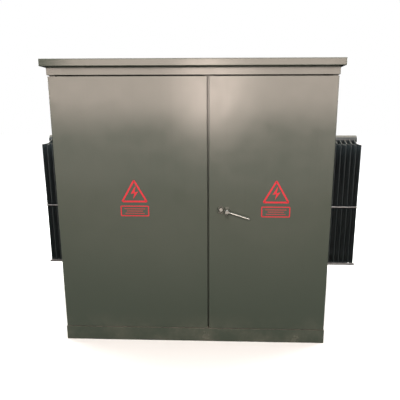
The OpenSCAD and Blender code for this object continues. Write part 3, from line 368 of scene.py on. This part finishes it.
def sprayed_paint(name, base, tone, rough, dust_and_highlight, runs, wear, wave):
    """Sprayed enamel on sheet steel: clouded colour that darkens towards the ground, peel, slow waves of
    the sheet, dust with a painted warm highlight on what faces up, painted shade in corners, runs and
    worn edges."""
    material, tree, shader = finish(name, IOR=1.5)
    spot = place(tree)
    cloud = spots(tree, spot, 1.6, 5.0, 0.6)
    skin = blended(tree, between(tree, cloud, 0.3, 0.7), base, tone)
    weather_and_highlight = use(tree, WEATHER_AND_HIGHLIGHT, {"DustAndHighlight": dust_and_highlight, "Runs": runs})
    # Painted shade in corners and between parts, such as between the radiator plates.
    painted_shade = use(tree, PAINTED_SHADE, {"Reach": 0.05, "Amount": 0.5})["Mask"]
    edge = use(tree, EDGE_WEAR, {"Width": 0.0022, "Amount": wear})["Mask"]
    # The painted shade's colour: under half the paint's own.
    dark = colour(*(0.45 * c for c in base[:3]))
    height = add(tree, "ShaderNodeSeparateXYZ", {}, {0: spot}).outputs["Z"]
    # Darker and greener towards the ground, from 1.3 m down.
    low_darkening = between(tree, height, 1.3, 0.15, 0.0, 0.85)
    skin = blended(tree, low_darkening, skin, colour(0.56 * base[0], 0.66 * base[1], 0.62 * base[2]))
    # Painted shade laid over the paint where little sky is seen.
    skin = blended(tree, painted_shade, skin, dark)
    skin = blended(tree, weather_and_highlight["Runs"], skin, colour(*(0.7 * c for c in tone[:3])))
    # Warm beige where dust and the painted highlight lie.
    skin = blended(tree, weather_and_highlight["DustAndHighlight"], skin, colour(0.24, 0.225, 0.185))
    skin = blended(tree, edge, skin, colour(0.42, 0.41, 0.38))
    tree.links.new(skin, shader.inputs["Base Color"])
    uneven = between(tree, spots(tree, spot, 9.0, 6.0, 0.6), 0.3, 0.7, rough - 0.03, rough + 0.04)
    dusty = maths(tree, "ADD", uneven, maths(tree, "MULTIPLY", weather_and_highlight["DustAndHighlight"], 0.6), True)
    tree.links.new(dusty, shader.inputs["Roughness"])
    soft = add(tree, "ShaderNodeBevel", {"samples": 4}, {"Radius": 0.003}).outputs[0]
    slow = spots(tree, stretched(tree, spot, (1.7, 1.7, 1.1)), 1.0, 1.0, 0.3)
    normal = bump(tree, slow, wave, 1.0, soft)
    normal = bump(tree, use(tree, ORANGE_PEEL, {"Scale": 230.0})["Height"], 0.00016, 0.7, normal)
    tree.links.new(normal, shader.inputs["Normal"])
    return material


def bare_metal(name, base, tone, rough, depth):
    """Drawn or ground metal: fine lines, clouded tone, painted shade in its corners."""
    material, tree, shader = finish(name, Metallic=1.0)
    brushing = use(tree, BRUSHING, {"Depth": depth})
    skin = blended(tree, between(tree, brushing["Cloud"], 0.35, 0.65), base, tone)
    # Painted shade in corners: darker colour, and duller there too.
    painted_shade = use(tree, PAINTED_SHADE, {"Reach": 0.012, "Amount": 0.7})["Mask"]
    skin = blended(tree, painted_shade, skin, colour(0.06, 0.055, 0.05))
    tree.links.new(skin, shader.inputs["Base Color"])
    spread = between(tree, brushing["Cloud"], 0.3, 0.7, rough - 0.06, rough + 0.08)
    dull = maths(tree, "ADD", spread, maths(tree, "MULTIPLY", painted_shade, 0.3))
    tree.links.new(dull, shader.inputs["Roughness"])
    tree.links.new(bump(tree, brushing["Height"], 0.0001, 0.7), shader.inputs["Normal"])
    return material


def zinc_coat(name):
    """Zinc plating: faint crystals of slightly different tone and shine."""
    material, tree, shader = finish(name, Metallic=1.0)
    crystals = add(tree, "ShaderNodeTexVoronoi", {"feature": "F1"}, {"Vector": place(tree), "Scale": 260.0})
    tone = add(tree, "ShaderNodeSeparateColor", {}, {0: crystals.outputs["Color"]}).outputs[0]
    skin = blended(tree, tone, colour(0.26, 0.27, 0.255), colour(0.36, 0.37, 0.35))
    # Painted shade in corners and recesses.
    painted_shade = use(tree, PAINTED_SHADE, {"Reach": 0.01, "Amount": 0.8})["Mask"]
    skin = blended(tree, painted_shade, skin, colour(0.10, 0.095, 0.085))
    tree.links.new(skin, shader.inputs["Base Color"])
    tree.links.new(between(tree, tone, 0.0, 1.0, 0.28, 0.42), shader.inputs["Roughness"])
    fine = spots(tree, place(tree), 700.0, 3.0)
    tree.links.new(bump(tree, fine, 0.00006, 0.6), shader.inputs["Normal"])
    return material


def moulded(name, base, tone, rough, grain, coat=0.0):
    """Moulded rubber, epoxy, vinyl or glaze: clouded colour, fine grain, painted shade in the corners."""
    material, tree, shader = finish(name, Coat_Weight=coat, Coat_Roughness=0.08)
    spot = place(tree)
    cloud = spots(tree, spot, 30.0, 5.0, 0.6)
    skin = blended(tree, between(tree, cloud, 0.35, 0.65), base, tone)
    # Painted shade in corners.
    painted_shade = use(tree, PAINTED_SHADE, {"Reach": 0.015, "Amount": 0.5})["Mask"]
    skin = blended(tree, painted_shade, skin, colour(0.12, 0.11, 0.095))
    tree.links.new(skin, shader.inputs["Base Color"])
    tree.links.new(between(tree, cloud, 0.3, 0.7, rough - 0.05, rough + 0.07), shader.inputs["Roughness"])
    tree.links.new(bump(tree, spots(tree, spot, 900.0, 2.0), grain, 0.7), shader.inputs["Normal"])
    return material


def layered(name, base, tone, rough, pitch, axis):
    """Stacked sheets or wound paper: thin lines across one axis, with uneven tone."""
    material, tree, shader = finish(name)
    spot = place(tree)
    along = add(tree, "ShaderNodeSeparateXYZ", {}, {0: spot}).outputs[axis]
    waver = maths(tree, "MULTIPLY", spots(tree, spot, 12.0), 0.6)
    phase = maths(tree, "ADD", maths(tree, "MULTIPLY", along, TAU / pitch), waver)
    line = maths(tree, "ADD", maths(tree, "MULTIPLY", maths(tree, "SINE", phase), 0.5), 0.5)
    cloud = spots(tree, spot, 14.0, 5.0)
    share = maths(tree, "MULTIPLY", line, between(tree, cloud, 0.2, 0.8, 0.4, 1.0))
    tree.links.new(blended(tree, share, base, tone), shader.inputs["Base Color"])
    tree.links.new(between(tree, cloud, 0.3, 0.7, rough - 0.08, rough + 0.08), shader.inputs["Roughness"])
    tree.links.new(bump(tree, line, 0.0004, 0.8), shader.inputs["Normal"])
    return material


def gauge_glass(name):
    """Clear flat glass with a breath of dust."""
    material, tree, shader = finish(name, Transmission_Weight=1.0, IOR=1.45,
                                    Base_Color=colour(0.95, 0.98, 0.98))
    haze = spots(tree, place(tree), 60.0, 6.0, 0.7)
    tree.links.new(between(tree, haze, 0.5, 0.8, 0.02, 0.16), shader.inputs["Roughness"])
    return material


FINISHES = {
    "cabinet_paint": sprayed_paint(
        "cabinet_enamel", colour(0.062, 0.075, 0.061), colour(0.055, 0.069, 0.055),
        rough=0.18, dust_and_highlight=0.6, runs=0.12, wear=0.3, wave=0.006),
    # The radiators' strong lightening of what faces up is partly dust, partly a painted warm highlight on the
    # pipes' tops and plate shoulders.
    "radiator_paint": sprayed_paint(
        "radiator_enamel", colour(0.052, 0.068, 0.075), colour(0.045, 0.059, 0.065),
        rough=0.34, dust_and_highlight=0.9, runs=0.2, wear=0.25, wave=0.0015),
    "bare_steel": bare_metal(
        "ground_steel", colour(0.30, 0.30, 0.30), colour(0.24, 0.24, 0.24), rough=0.38, depth=1.0),
    "zinc_plate": zinc_coat("zinc"),
    "copper_alloy": bare_metal(
        "copper_alloy", colour(0.62, 0.36, 0.20), colour(0.48, 0.27, 0.15), rough=0.34, depth=0.8),
    "seal_rubber": moulded(
        "rubber", colour(0.022, 0.022, 0.022), colour(0.032, 0.031, 0.030), rough=0.62, grain=0.0001),
    "epoxy": moulded(
        "epoxy", colour(0.055, 0.035, 0.028), colour(0.040, 0.026, 0.022), rough=0.42, grain=0.00008),
    "porcelain": moulded(
        "brown_glaze", colour(0.13, 0.042, 0.020), colour(0.085, 0.028, 0.014),
        rough=0.22, grain=0.00003, coat=0.6),
    "sign_red": moulded(
        "sign_red", colour(0.50, 0.005, 0.020), colour(0.45, 0.004, 0.017), rough=0.36, grain=0.00003),
    "handle_red": moulded(
        "red_enamel", colour(0.55, 0.02, 0.018), colour(0.45, 0.016, 0.014), rough=0.28, grain=0.00006),
    "gauge_black": moulded(
        "gauge_case", colour(0.02, 0.02, 0.022), colour(0.028, 0.028, 0.03), rough=0.3, grain=0.00005),
    "clear": gauge_glass("gauge_glass"),
    "core_steel": layered(
        "core_laminations", colour(0.10, 0.11, 0.12), colour(0.20, 0.21, 0.22),
        rough=0.45, pitch=0.004, axis=1),
    "insulation": layered(
        "pressboard", colour(0.42, 0.27, 0.13), colour(0.52, 0.36, 0.19), rough=0.6, pitch=0.012, axis=2),
}
for part in frame["record"]["subparts"]:
    mesh = NODES[part["node"]].data
    mesh.materials.clear()
    mesh.materials.append(FINISHES[part["material_slot"]])


def made(name, parts, body, slot, stands_for=(), smooth=35, outwards=True):
    """A piece in the finish of a material slot."""
    return piece(name, parts, body, FINISHES[slot], stands_for, smooth, outwards)


# ---- Cabinet ----

def roof_ring(half_x, half_y, centre, inset, height, radius, steps):
    """One ring of the roof: a rectangle with round corners, drawn in by the inset, at a height."""
    hx, hy = half_x - inset, half_y - inset
    r = max(radius - inset, 0.0005)
    outline, _ = rounded([(-hx, -hy), (hx, -hy), (hx, hy), (-hx, hy)], r, steps)
    return np.column_stack([outline + centre, np.broadcast_to(height, len(outline))])


def roof():
    """The roof cap: rings from the crowned top out over the bent edge, down the skirt, round the hem
    and back inside. The top falls off as the square of the distance from the ridge."""
    low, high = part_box("roof")
    half_x, half_y = (high.x - low.x) / 2, (high.y - low.y) / 2
    centre = np.array([(low.x + high.x) / 2, (low.y + high.y) / 2])
    crown, corner, steps, hem, ridge = 0.0015, 0.006, 5, 0.012, 0.001
    edge = high.z - crown
    rings = []
    for share in np.linspace(0.0, 1.0, 9):
        inset = BEND + (half_y - BEND - ridge) * (1 - share)
        fall = crown * ((half_y - inset) / half_y) ** 2
        rings.append((inset, high.z - fall))
    turn = np.linspace(0, math.pi / 2, 6)[1:]
    rings += [(BEND - BEND * math.sin(a), edge - BEND + BEND * math.cos(a)) for a in turn]
    hem_r = 0.0035
    rings += [(0.0, low.z + 0.006), (0.0, low.z + hem_r)]
    rings += [(hem_r - hem_r * math.cos(a), low.z + hem_r - hem_r * math.sin(a)) for a in turn]
    rings += [(hem, low.z), (hem, low.z + SHEET), (SHEET, low.z + SHEET), (SHEET, edge - SHEET)]
    rings += [(half_y - ridge, edge - SHEET)]
    points = np.stack([roof_ring(half_x, half_y, centre, inset, height, corner, steps)
                       for inset, height in rings])
    parts = [grid(points, wrap_v=True)]
    half = points.shape[1] // 2
    for ring in (points[-1], points[0]):
        parts.append(grid(np.stack([ring[:half], ring[half:][::-1]])))
    made("roof_cap", parts, "unit", "cabinet_paint", ["roof"])


# ---- Radiators ----

PLATES = 12
PLATE_PITCH = 0.045
PLATE_FIRST = 0.062
PLATE_T = 0.009
SEAM_T = 0.003
CHANNELS = 6
NECK = 0.045
SHOULDER = 0.130
RISE_UP = 0.037
RISE_DOWN = 0.036
FLANGE_LIP = 0.014
FLANGE_T = 0.014
FLANGE_OUT = 0.030
ROD_R = 0.0055
ROD_PAST = 0.003
STRIP_T = 0.006
STRIP_H = 0.020
STRIP_PAST = 0.012


def radiator(side, s):
    """One side's measures from its boxes. The pipes' box is as wide as their bolting flanges."""
    low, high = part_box("radiator_plates_" + side)
    pipe_low, pipe_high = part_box("radiator_pipes_" + side)
    flange_r = (pipe_high.y - pipe_low.y) / 2
    tank_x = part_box("tank_cover")[1].x - RIM
    up, down = pipe_high.z - flange_r, pipe_low.z + flange_r
    return SimpleNamespace(
        side=side, s=s, middle=(low.y + high.y) / 2, half=(high.y - low.y) / 2,
        flange_r=flange_r, radius=flange_r - FLANGE_LIP, up=up, down=down,
        corner_high=up - RISE_UP, corner_low=down + RISE_DOWN, tank_x=tank_x,
        end_x=pipe_high.x if s > 0 else -pipe_low.x,
        plates=[s * (tank_x + PLATE_FIRST + i * PLATE_PITCH) for i in range(PLATES)])


def plate_half(rad, z):
    """Half the width of a plate at height z: full between the corners. Above, it steps in over level
    shoulders and narrows evenly to the neck. Below, it narrows evenly from the corners."""
    rise = np.clip((z - rad.corner_high) / (rad.up - rad.corner_high), 0, 1)
    drop = np.clip((rad.corner_low - z) / (rad.corner_low - rad.down), 0, 1)
    inner = rad.half - SHOULDER
    above = np.minimum(rad.half - SHOULDER * np.minimum(rise * 60, 1), inner - (inner - NECK) * rise)
    below = rad.half - (rad.half - NECK) * drop
    return np.where(rise > 0, above, below)


def plate_surface(rad):
    """One plate's pressed sheet: Y and Z over the plate, and how far the sheet stands off its middle.

    The two sheets meet in a flat seam at the rim. Inside it they step up smoothly to upright oil
    channels, each a raised cosine across the plate. The rows crowd where the sheet bends.
    """
    near = np.array([0.0004, 0.006, 0.014, 0.022, 0.034])
    plain = 0.08
    z = np.concatenate([
        np.linspace(rad.down, rad.corner_low, 6), rad.corner_low + near,
        np.linspace(rad.corner_low + plain, rad.corner_high - plain, 16),
        rad.corner_high - near[::-1], np.linspace(rad.corner_high, rad.up, 6)])
    across = np.linspace(-1, 1, 61)[None, :]
    wide = plate_half(rad, z)[:, None]
    y = across * wide
    rim = np.minimum(rad.half - np.abs(y), wide * (1 - np.abs(across)))
    ends = np.minimum(z[:, None] - rad.corner_low, rad.corner_high - z[:, None])
    in_neck = np.clip(1 - np.maximum(np.abs(y) - (NECK - 0.012), 0) / 0.02, 0, 1)
    inward = np.minimum(rim, np.where(ends > 0, np.maximum(ends, in_neck * 0.03), in_neck * 0.03))
    step = np.clip((inward - 0.008) / 0.010, 0, 1)
    step = step * step * (3 - 2 * step)
    flute = 0.5 - 0.5 * np.cos(CHANNELS * TAU * (y + rad.half) / (2 * rad.half))
    flute = 0.35 + 0.65 * np.minimum(flute * 1.8, 1.0)
    return y, z, SEAM_T / 2 + (PLATE_T / 2 - SEAM_T / 2) * step * flute


def radiator_fins(rad):
    """Every plate of one side: two pressed sheets and the seam's edge between them."""
    y, z, raised = plate_surface(rad)
    rim = np.concatenate([np.stack([y[:, -1], z], -1), np.stack([y[::-1, 0], z[::-1]], -1)])
    parts = []
    for x in rad.plates:
        for face in (-1, 1):
            height = np.broadcast_to(z[:, None], y.shape)
            parts.append(grid(np.stack([x + face * raised, rad.middle + y, height], axis=-1)))
        edge = [np.column_stack([np.full(len(rim), x + face * SEAM_T / 2), rad.middle + rim[:, 0], rim[:, 1]])
                for face in (-1, 1)]
        parts.append(grid(np.stack(edge, axis=1), wrap_u=True))
    made("radiator_fins_" + rad.side, parts, "unit", "radiator_paint", ["radiator_plates_" + rad.side], 50)


def radiator_welds(rad):
    """Weld beads: half round the pipe on each face of a plate, and along the plates' upper edges."""
    edge_r, pipe_bead_r, off_face = 0.0042, 0.0032, 0.005
    beads = []
    for x in rad.plates:
        for height, start, stop in ((rad.up, 0.0, math.pi), (rad.down, math.pi, TAU)):
            for face in (-1, 1):
                centre = (x + face * off_face, rad.middle, height)
                arc = ring_path(centre, (1, 0, 0), rad.radius + 0.0015, 15, start, stop)
                beads.append(tube(arc, pipe_bead_r, 6))
        for face in (-1, 1):
            corners = [(rad.half - 0.004, rad.corner_high), (rad.half - SHOULDER, rad.corner_high),
                       (NECK + 0.004, rad.up - 0.008)]
            corners = [(x, rad.middle + face * y, z) for y, z in corners]
            legs = [straight(a, b, 0.012) for a, b in zip(corners, corners[1:])]
            beads.append(tube(np.concatenate([legs[0], legs[1][1:]]), edge_r, 8))
    made("radiator_welds_" + rad.side, beads, "unit", "radiator_paint")


def radiator_headers(rad):
    """The header pipes of one side: out of the tank through a pair of bolting flanges to a domed end."""
    dome, bead_r = 0.014, 0.005
    flange_x = rad.tank_x + FLANGE_OUT
    flange = [(rad.radius, 0.0), (rad.flange_r - 0.002, 0.0), (rad.flange_r, 0.002), (rad.flange_r, 0.006),
              (rad.flange_r - 0.001, 0.007), (rad.flange_r, 0.008), (rad.flange_r, 0.012),
              (rad.flange_r - 0.002, FLANGE_T), (rad.radius, FLANGE_T)]
    cap = [(rad.radius - dome + dome * math.cos(a), rad.end_x - 0.010 + 0.010 * math.sin(a))
           for a in np.linspace(0, math.pi / 2, 9)]
    profile = [(rad.radius, rad.tank_x - 0.006)] + [(r, flange_x + x) for r, x in flange] + cap
    profile.append((0.0, rad.end_x))
    parts = []
    for height in (rad.up, rad.down):
        parts.append(turned(profile, (0, rad.middle, height), (rad.s, 0, 0), 48))
        at_wall = (rad.s * (rad.tank_x + 0.002), rad.middle, height)
        parts.append(tube(ring_path(at_wall, (1, 0, 0), rad.radius + 0.003, 48), bead_r, 8, True))
    made("radiator_headers_" + rad.side, parts, "unit", "radiator_paint", ["radiator_pipes_" + rad.side], 40)


def brace_rod(inner, outer, y, z, s):
    """A round brace rod along X with softened ends."""
    bar = [(0.0, inner), (ROD_R * 0.7, inner), (ROD_R, inner + 0.0015), (ROD_R, outer - 0.0025),
           (ROD_R * 0.6, outer), (0.0, outer)]
    return turned(bar, (0, y, z), (s, 0, 0), 16)


def brace_strip(inner, outer, edge, face, z, s):
    """A flat brace strip along X, standing on the plates' edges, with round long corners."""
    section, _ = rounded([(0, z), (STRIP_T, z), (STRIP_T, z + STRIP_H), (0, z + STRIP_H)], 0.0012, 4)
    middle = np.array([STRIP_T / 2, z + STRIP_H / 2])
    rings = []
    for x, full in ((inner, 0.0), (inner, 1.0), (outer, 1.0), (outer, 0.0)):
        shape = middle + (section - middle) * full
        rings.append(np.column_stack([np.full(len(shape), s * x), edge + face * shape[:, 0], shape[:, 1]]))
    return grid(np.stack(rings), wrap_v=True)


def radiator_ties():
    """Braces across the plates' free edges: round rods halfway up, flat strips at the bottom."""
    low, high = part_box("radiator_ties")
    parts = []
    for side, s in (("left", -1), ("right", 1)):
        plates_low, plates_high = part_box("radiator_plates_" + side)
        inner = min(abs(plates_low.x), abs(plates_high.x)) - 0.0045
        outer = max(abs(plates_low.x), abs(plates_high.x))
        for edge, face in ((plates_low.y, -1), (plates_high.y, 1)):
            parts.append(brace_rod(inner, outer + ROD_PAST, edge + face * ROD_R, high.z - ROD_R, s))
            parts.append(brace_strip(inner, outer + STRIP_PAST, edge, face, low.z, s))
    made("radiator_braces", parts, "unit", "bare_steel", ["radiator_ties"])


# ---- Signs ----

def sign(side, body):
    """A hazard triangle with a lightning bolt over a panel with three plain bars."""
    node = "sign_" + side
    low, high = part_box(node)
    back, front = high.y, low.y
    mid = (low.x + high.x) / 2
    panel_w, panel_h, panel_line = high.x - low.x, 0.079, 0.0072
    panel_top = low.z + panel_h
    base = panel_top + 0.025
    length, bar = 0.200, 0.0125
    tip = base + length * math.sqrt(3) / 2
    corners = [(mid - length / 2, base), (mid + length / 2, base), (mid, tip)]
    triangle, normals = rounded(corners, 0.009, 7)
    parts = [band(triangle, normals, bar, back, front)]
    corners = [(low.x, low.z), (high.x, low.z), (high.x, panel_top), (low.x, panel_top)]
    panel, normals = rounded(corners, 0.006, 6)
    parts.append(band(panel, normals, panel_line, back, front))
    bolt = np.array([[12, 126], [-27, 62], [1, 68], [-9, 24], [29, 80], [3, 74]]) / 1000 + [mid, base]
    strips = [([bolt[0], bolt[5]], [bolt[1], bolt[2]]), ([bolt[5], bolt[4]], [bolt[2], bolt[3]])]
    parts += flat_shape(strips, back, front)
    rule, first, apart = 0.0035, 0.022, 0.0165
    for row, share in enumerate((0.74, 0.56, 0.68)):
        z = panel_top - first - row * apart
        wide = panel_w * share / 2
        ends = [[(mid - wide, height), (mid + wide, height)] for height in (z, z - rule)]
        parts += flat_shape([tuple(ends)], back, front)
    made("hazard_sign_" + side, parts, body, "sign_red", [node])


# ---- Tank details ----

def tank_welds():
    """Weld beads: under the rim, down the tank's corners and round the lifting lugs."""
    gasket_low, gasket_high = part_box("cover_gasket")
    x1, y0, y1 = gasket_high.x - RIM, gasket_low.y + RIM + 0.01, gasket_high.y - RIM
    z0, z1 = RAIL_H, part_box("tank")[1].z - RIM_T
    runs = [((-x1, y1, z1), (x1, y1, z1), BEAD), ((-x1, y1, z0), (x1, y1, z0), FINE_BEAD)]
    for x in (-x1, x1):
        runs += [((x, y0, z1), (x, y1, z1), BEAD), ((x, y1, z0), (x, y1, z1), BEAD),
                 ((x, y0, z0), (x, y0, z1), BEAD), ((x, y0, z0), (x, y1, z0), FINE_BEAD)]
    parts = [tube(straight(start, end, 0.02), radius, 8) for start, end, radius in runs]
    lug_low, lug_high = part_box("lifting_lugs")
    lug_t = 0.020
    for x in (-x1, x1):
        for y in (lug_low.y, lug_low.y + lug_t, lug_high.y - lug_t, lug_high.y):
            parts.append(tube(straight((x, y, lug_low.z), (x, y, lug_high.z - 0.02), 0.01), BEAD, 8))
    made("tank_welds", parts, "unit", "cabinet_paint")


def nameplate():
    """A blank rating plate on four round-headed pins, inside on the low voltage side."""
    wall_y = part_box("ground_pads")[1].y
    x, z, wide, tall = 0.33, 1.36, 0.20, 0.14
    thick, side_t, slope, pin_in, pin_r = 0.002, 0.0012, 0.0008, 0.012, 0.004
    outline, normals = rounded([(x, z), (x + wide, z), (x + wide, z + tall), (x, z + tall)], 0.008, 6)
    drawn_in = outline - normals * slope
    rings = [np.column_stack([xz[:, 0], np.full(len(xz), wall_y - out), xz[:, 1]])
             for xz, out in ((outline, 0.0), (outline, side_t), (drawn_in, thick))]
    rings.append(np.broadcast_to([x + wide / 2, wall_y - thick, z + tall / 2], rings[0].shape))
    parts = [grid(np.stack(rings), wrap_v=True)]
    dome = [(pin_r * math.cos(a), thick + 0.002 * math.sin(a)) for a in np.linspace(0, math.pi / 2, 6)]
    for pin_x in (x + pin_in, x + wide - pin_in):
        for pin_z in (z + pin_in, z + tall - pin_in):
            parts.append(turned([(pin_r, 0.0)] + dome, (pin_x, wall_y, pin_z), (0, -1, 0), 20))
    made("rating_plate", parts, "unit", "bare_steel", (), 30, False)


def islands(node):
    """The separate pieces of a node in a row along X: each one's middle and half width."""
    mesh = NODES[node].data
    points = np.empty(len(mesh.vertices) * 3)
    mesh.vertices.foreach_get("co", points)
    points = points.reshape(-1, 3)
    order = np.argsort(points[:, 0])
    breaks = np.where(np.diff(points[order, 0]) > 0.03)[0] + 1
    found = []
    for run in np.split(order, breaks):
        low, high = points[run].min(axis=0), points[run].max(axis=0)
        found.append(((low + high) / 2, (high[0] - low[0]) / 2))
    return found


def gauge_marks():
    """Raised ticks round each dial: every third one longer and bolder."""
    dial_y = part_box("gauge_glasses")[1].y + 0.0065
    marks, first, step, rim = 25, -150, 12.5, 0.92
    lift = np.array([0, 0.0007, 0])
    parts = []
    for centre, radius in islands("gauge_glasses"):
        for i in range(marks):
            long, half = (0.26, 0.0011) if i % 3 == 0 else (0.13, 0.0006)
            turn = math.radians(first + step * i)
            ends = np.array([radius * (rim - long), radius * rim])
            out = np.array([math.sin(turn), 0.0, math.cos(turn)])
            side = np.array([math.cos(turn), 0.0, -math.sin(turn)]) * half
            spine = centre * [1, 0, 1] + [0, dial_y, 0] + ends[:, None] * out
            loop = [spine + side - lift, spine - side - lift, spine - side + lift, spine + side + lift]
            ring = np.stack(loop, axis=1)
            parts.append(grid(ring, wrap_v=True))
            parts += [grid(np.stack([ring[end, :2], ring[end, 3:1:-1]])) for end in (0, 1)]
    made("gauge_marks", parts, "unit", "zinc_plate")


def seams():
    """Weld beads where the stiffeners meet the doors' skins, stitched every so often."""
    hinge_in, free_in, half_w, count, length, bead_r = 0.04, 0.06, 0.030, 6, 0.035, 0.0028
    near, far = 0.29, 0.59
    for side, s in (("left", -1), ("right", 1)):
        low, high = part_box("door_" + side + "_frame")
        door_low, door_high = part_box("door_" + side)
        skin = door_low.y + SHEET
        x0, x1 = (low.x + hinge_in, high.x - free_in) if s > 0 else (low.x + free_in, high.x - hinge_in)
        parts = []
        for z in (door_low.z + near, door_low.z + far, door_high.z - far, door_high.z - near):
            for edge in (z - half_w, z + half_w):
                for x in np.linspace(x0, x1 - 0.04, count):
                    parts.append(tube(straight((x, skin, edge), (x + length, skin, edge), 0.007), bead_r, 7))
        made("door_stitches_" + side, parts, side + "_door", "bare_steel")


# ---- Stage ----

def stage():
    """Pale floor, soft lights and a white surround."""
    size = 30.0
    mesh = bpy.data.meshes.new("floor")
    mesh.from_pydata([(-size, -size, 0), (size, -size, 0), (size, size, 0), (-size, size, 0)], [],
                     [(0, 1, 2, 3)])
    floor = bpy.data.objects.new("floor", mesh)
    bpy.context.scene.collection.objects.link(floor)
    material, tree, shader = finish("pale_floor", Roughness=0.7)
    spot = place(tree)
    cloud = spots(tree, spot, 1.5, 4.0)
    seen = add(tree, "ShaderNodeLightPath").outputs["Is Camera Ray"]
    pale = blended(tree, cloud, colour(0.86, 0.86, 0.85), colour(0.91, 0.91, 0.90))
    tree.links.new(blended(tree, seen, colour(0.12, 0.12, 0.12), pale), shader.inputs["Base Color"])
    reach = add(tree, "ShaderNodeVectorMath", {"operation": "LENGTH"}, {0: spot}).outputs["Value"]
    far = maths(tree, "MULTIPLY", between(tree, reach, 1.2, 4.0, 0.12, 1.0), seen)
    tree.links.new(far, shader.inputs["Emission Strength"])
    shader.inputs["Emission Color"].default_value = colour(1, 1, 1)
    mesh.materials.append(material)
    world = bpy.data.worlds.new("surround")
    bpy.context.scene.world = world
    world.use_nodes = True
    tree = world.node_tree
    back = tree.nodes["Background"]
    back.inputs["Strength"].default_value = 0.22
    back.inputs["Color"].default_value = colour(0.93, 0.98, 1.0)
    seen = add(tree, "ShaderNodeBackground", {}, {"Color": colour(1, 1, 1), "Strength": 1.0})
    ray = add(tree, "ShaderNodeLightPath").outputs["Is Camera Ray"]
    mix = add(tree, "ShaderNodeMixShader", {}, {0: ray, 1: back.outputs[0], 2: seen.outputs[0]})
    tree.links.new(mix.outputs[0], tree.nodes["World Output"].inputs["Surface"])


def soft_light(name, size_x, size_y, place_at, look_at, power, tint):
    """A soft area light that faces a point."""
    data = bpy.data.lights.new(name, "AREA")
    data.shape = "RECTANGLE"
    data.size, data.size_y = size_x, size_y
    data.energy = power
    data.color = tint
    lamp = bpy.data.objects.new(name, data)
    bpy.context.scene.collection.objects.link(lamp)
    lamp.location = place_at
    lamp.rotation_euler = (Vector(look_at) - Vector(place_at)).to_track_quat("-Z", "Y").to_euler()


def camera():
    """The camera stands in front, a little right of the middle, above eye level, tilted down."""
    low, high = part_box("header_rail")
    width = high.x - low.x
    data = bpy.data.cameras.new("camera")
    data.sensor_width = 36.0
    data.lens = 36.05
    data.shift_x = -0.0271
    data.clip_end = 100.0
    obj = bpy.data.objects.new("camera", data)
    bpy.context.scene.collection.objects.link(obj)
    obj.location = (0.113 * width, low.y - 1.414 * width, 0.8625 * width)
    obj.rotation_euler = (math.pi / 2 - 0.2089, 0.0, 0.0339)
    bpy.context.scene.camera = obj


roof()
for side, s in (("left", -1), ("right", 1)):
    rad = radiator(side, s)
    radiator_fins(rad)
    radiator_welds(rad)
    radiator_headers(rad)
radiator_ties()
sign("left", "left_door")
sign("right", "right_door")
tank_welds()
nameplate()
gauge_marks()
seams()
stage()
WARM = (1.0, 0.82, 0.73)
PALE = (1.0, 0.99, 0.97)
soft_light("wide_panel", 9.0, 3.0, (0.2, -6.8, 3.19), (0.2, 0.0, 2.8), 660.0, WARM)
soft_light("near_panel", 1.3, 2.6, (0.0, -6.6, 2.60), (0.0, 0.0, 2.4), 76.0, (1.0, 0.82, 0.72))
soft_light("low_panel", 9.0, 1.5, (0.2, -6.8, 0.85), (0.2, 0.0, 0.85), 40.0, (1.0, 0.93, 0.88))
for s in (-1, 1):
    soft_light("side_panel_light", 4.0, 3.0, (s * 6.5, 3.2, 3.2), (s * 1.0, 0.6, 1.0), 420.0, PALE)
soft_light("back_panel", 5.0, 3.0, (0.0, 7.5, 3.4), (0.0, 0.8, 1.0), 420.0, PALE)
soft_light("top_panel", 7.0, 5.0, (0.0, 0.3, 6.0), (0.0, 0.0, 0.0), 430.0, (0.95, 1.0, 1.0))
camera()
bpy.context.scene.view_settings.view_transform = "Standard"
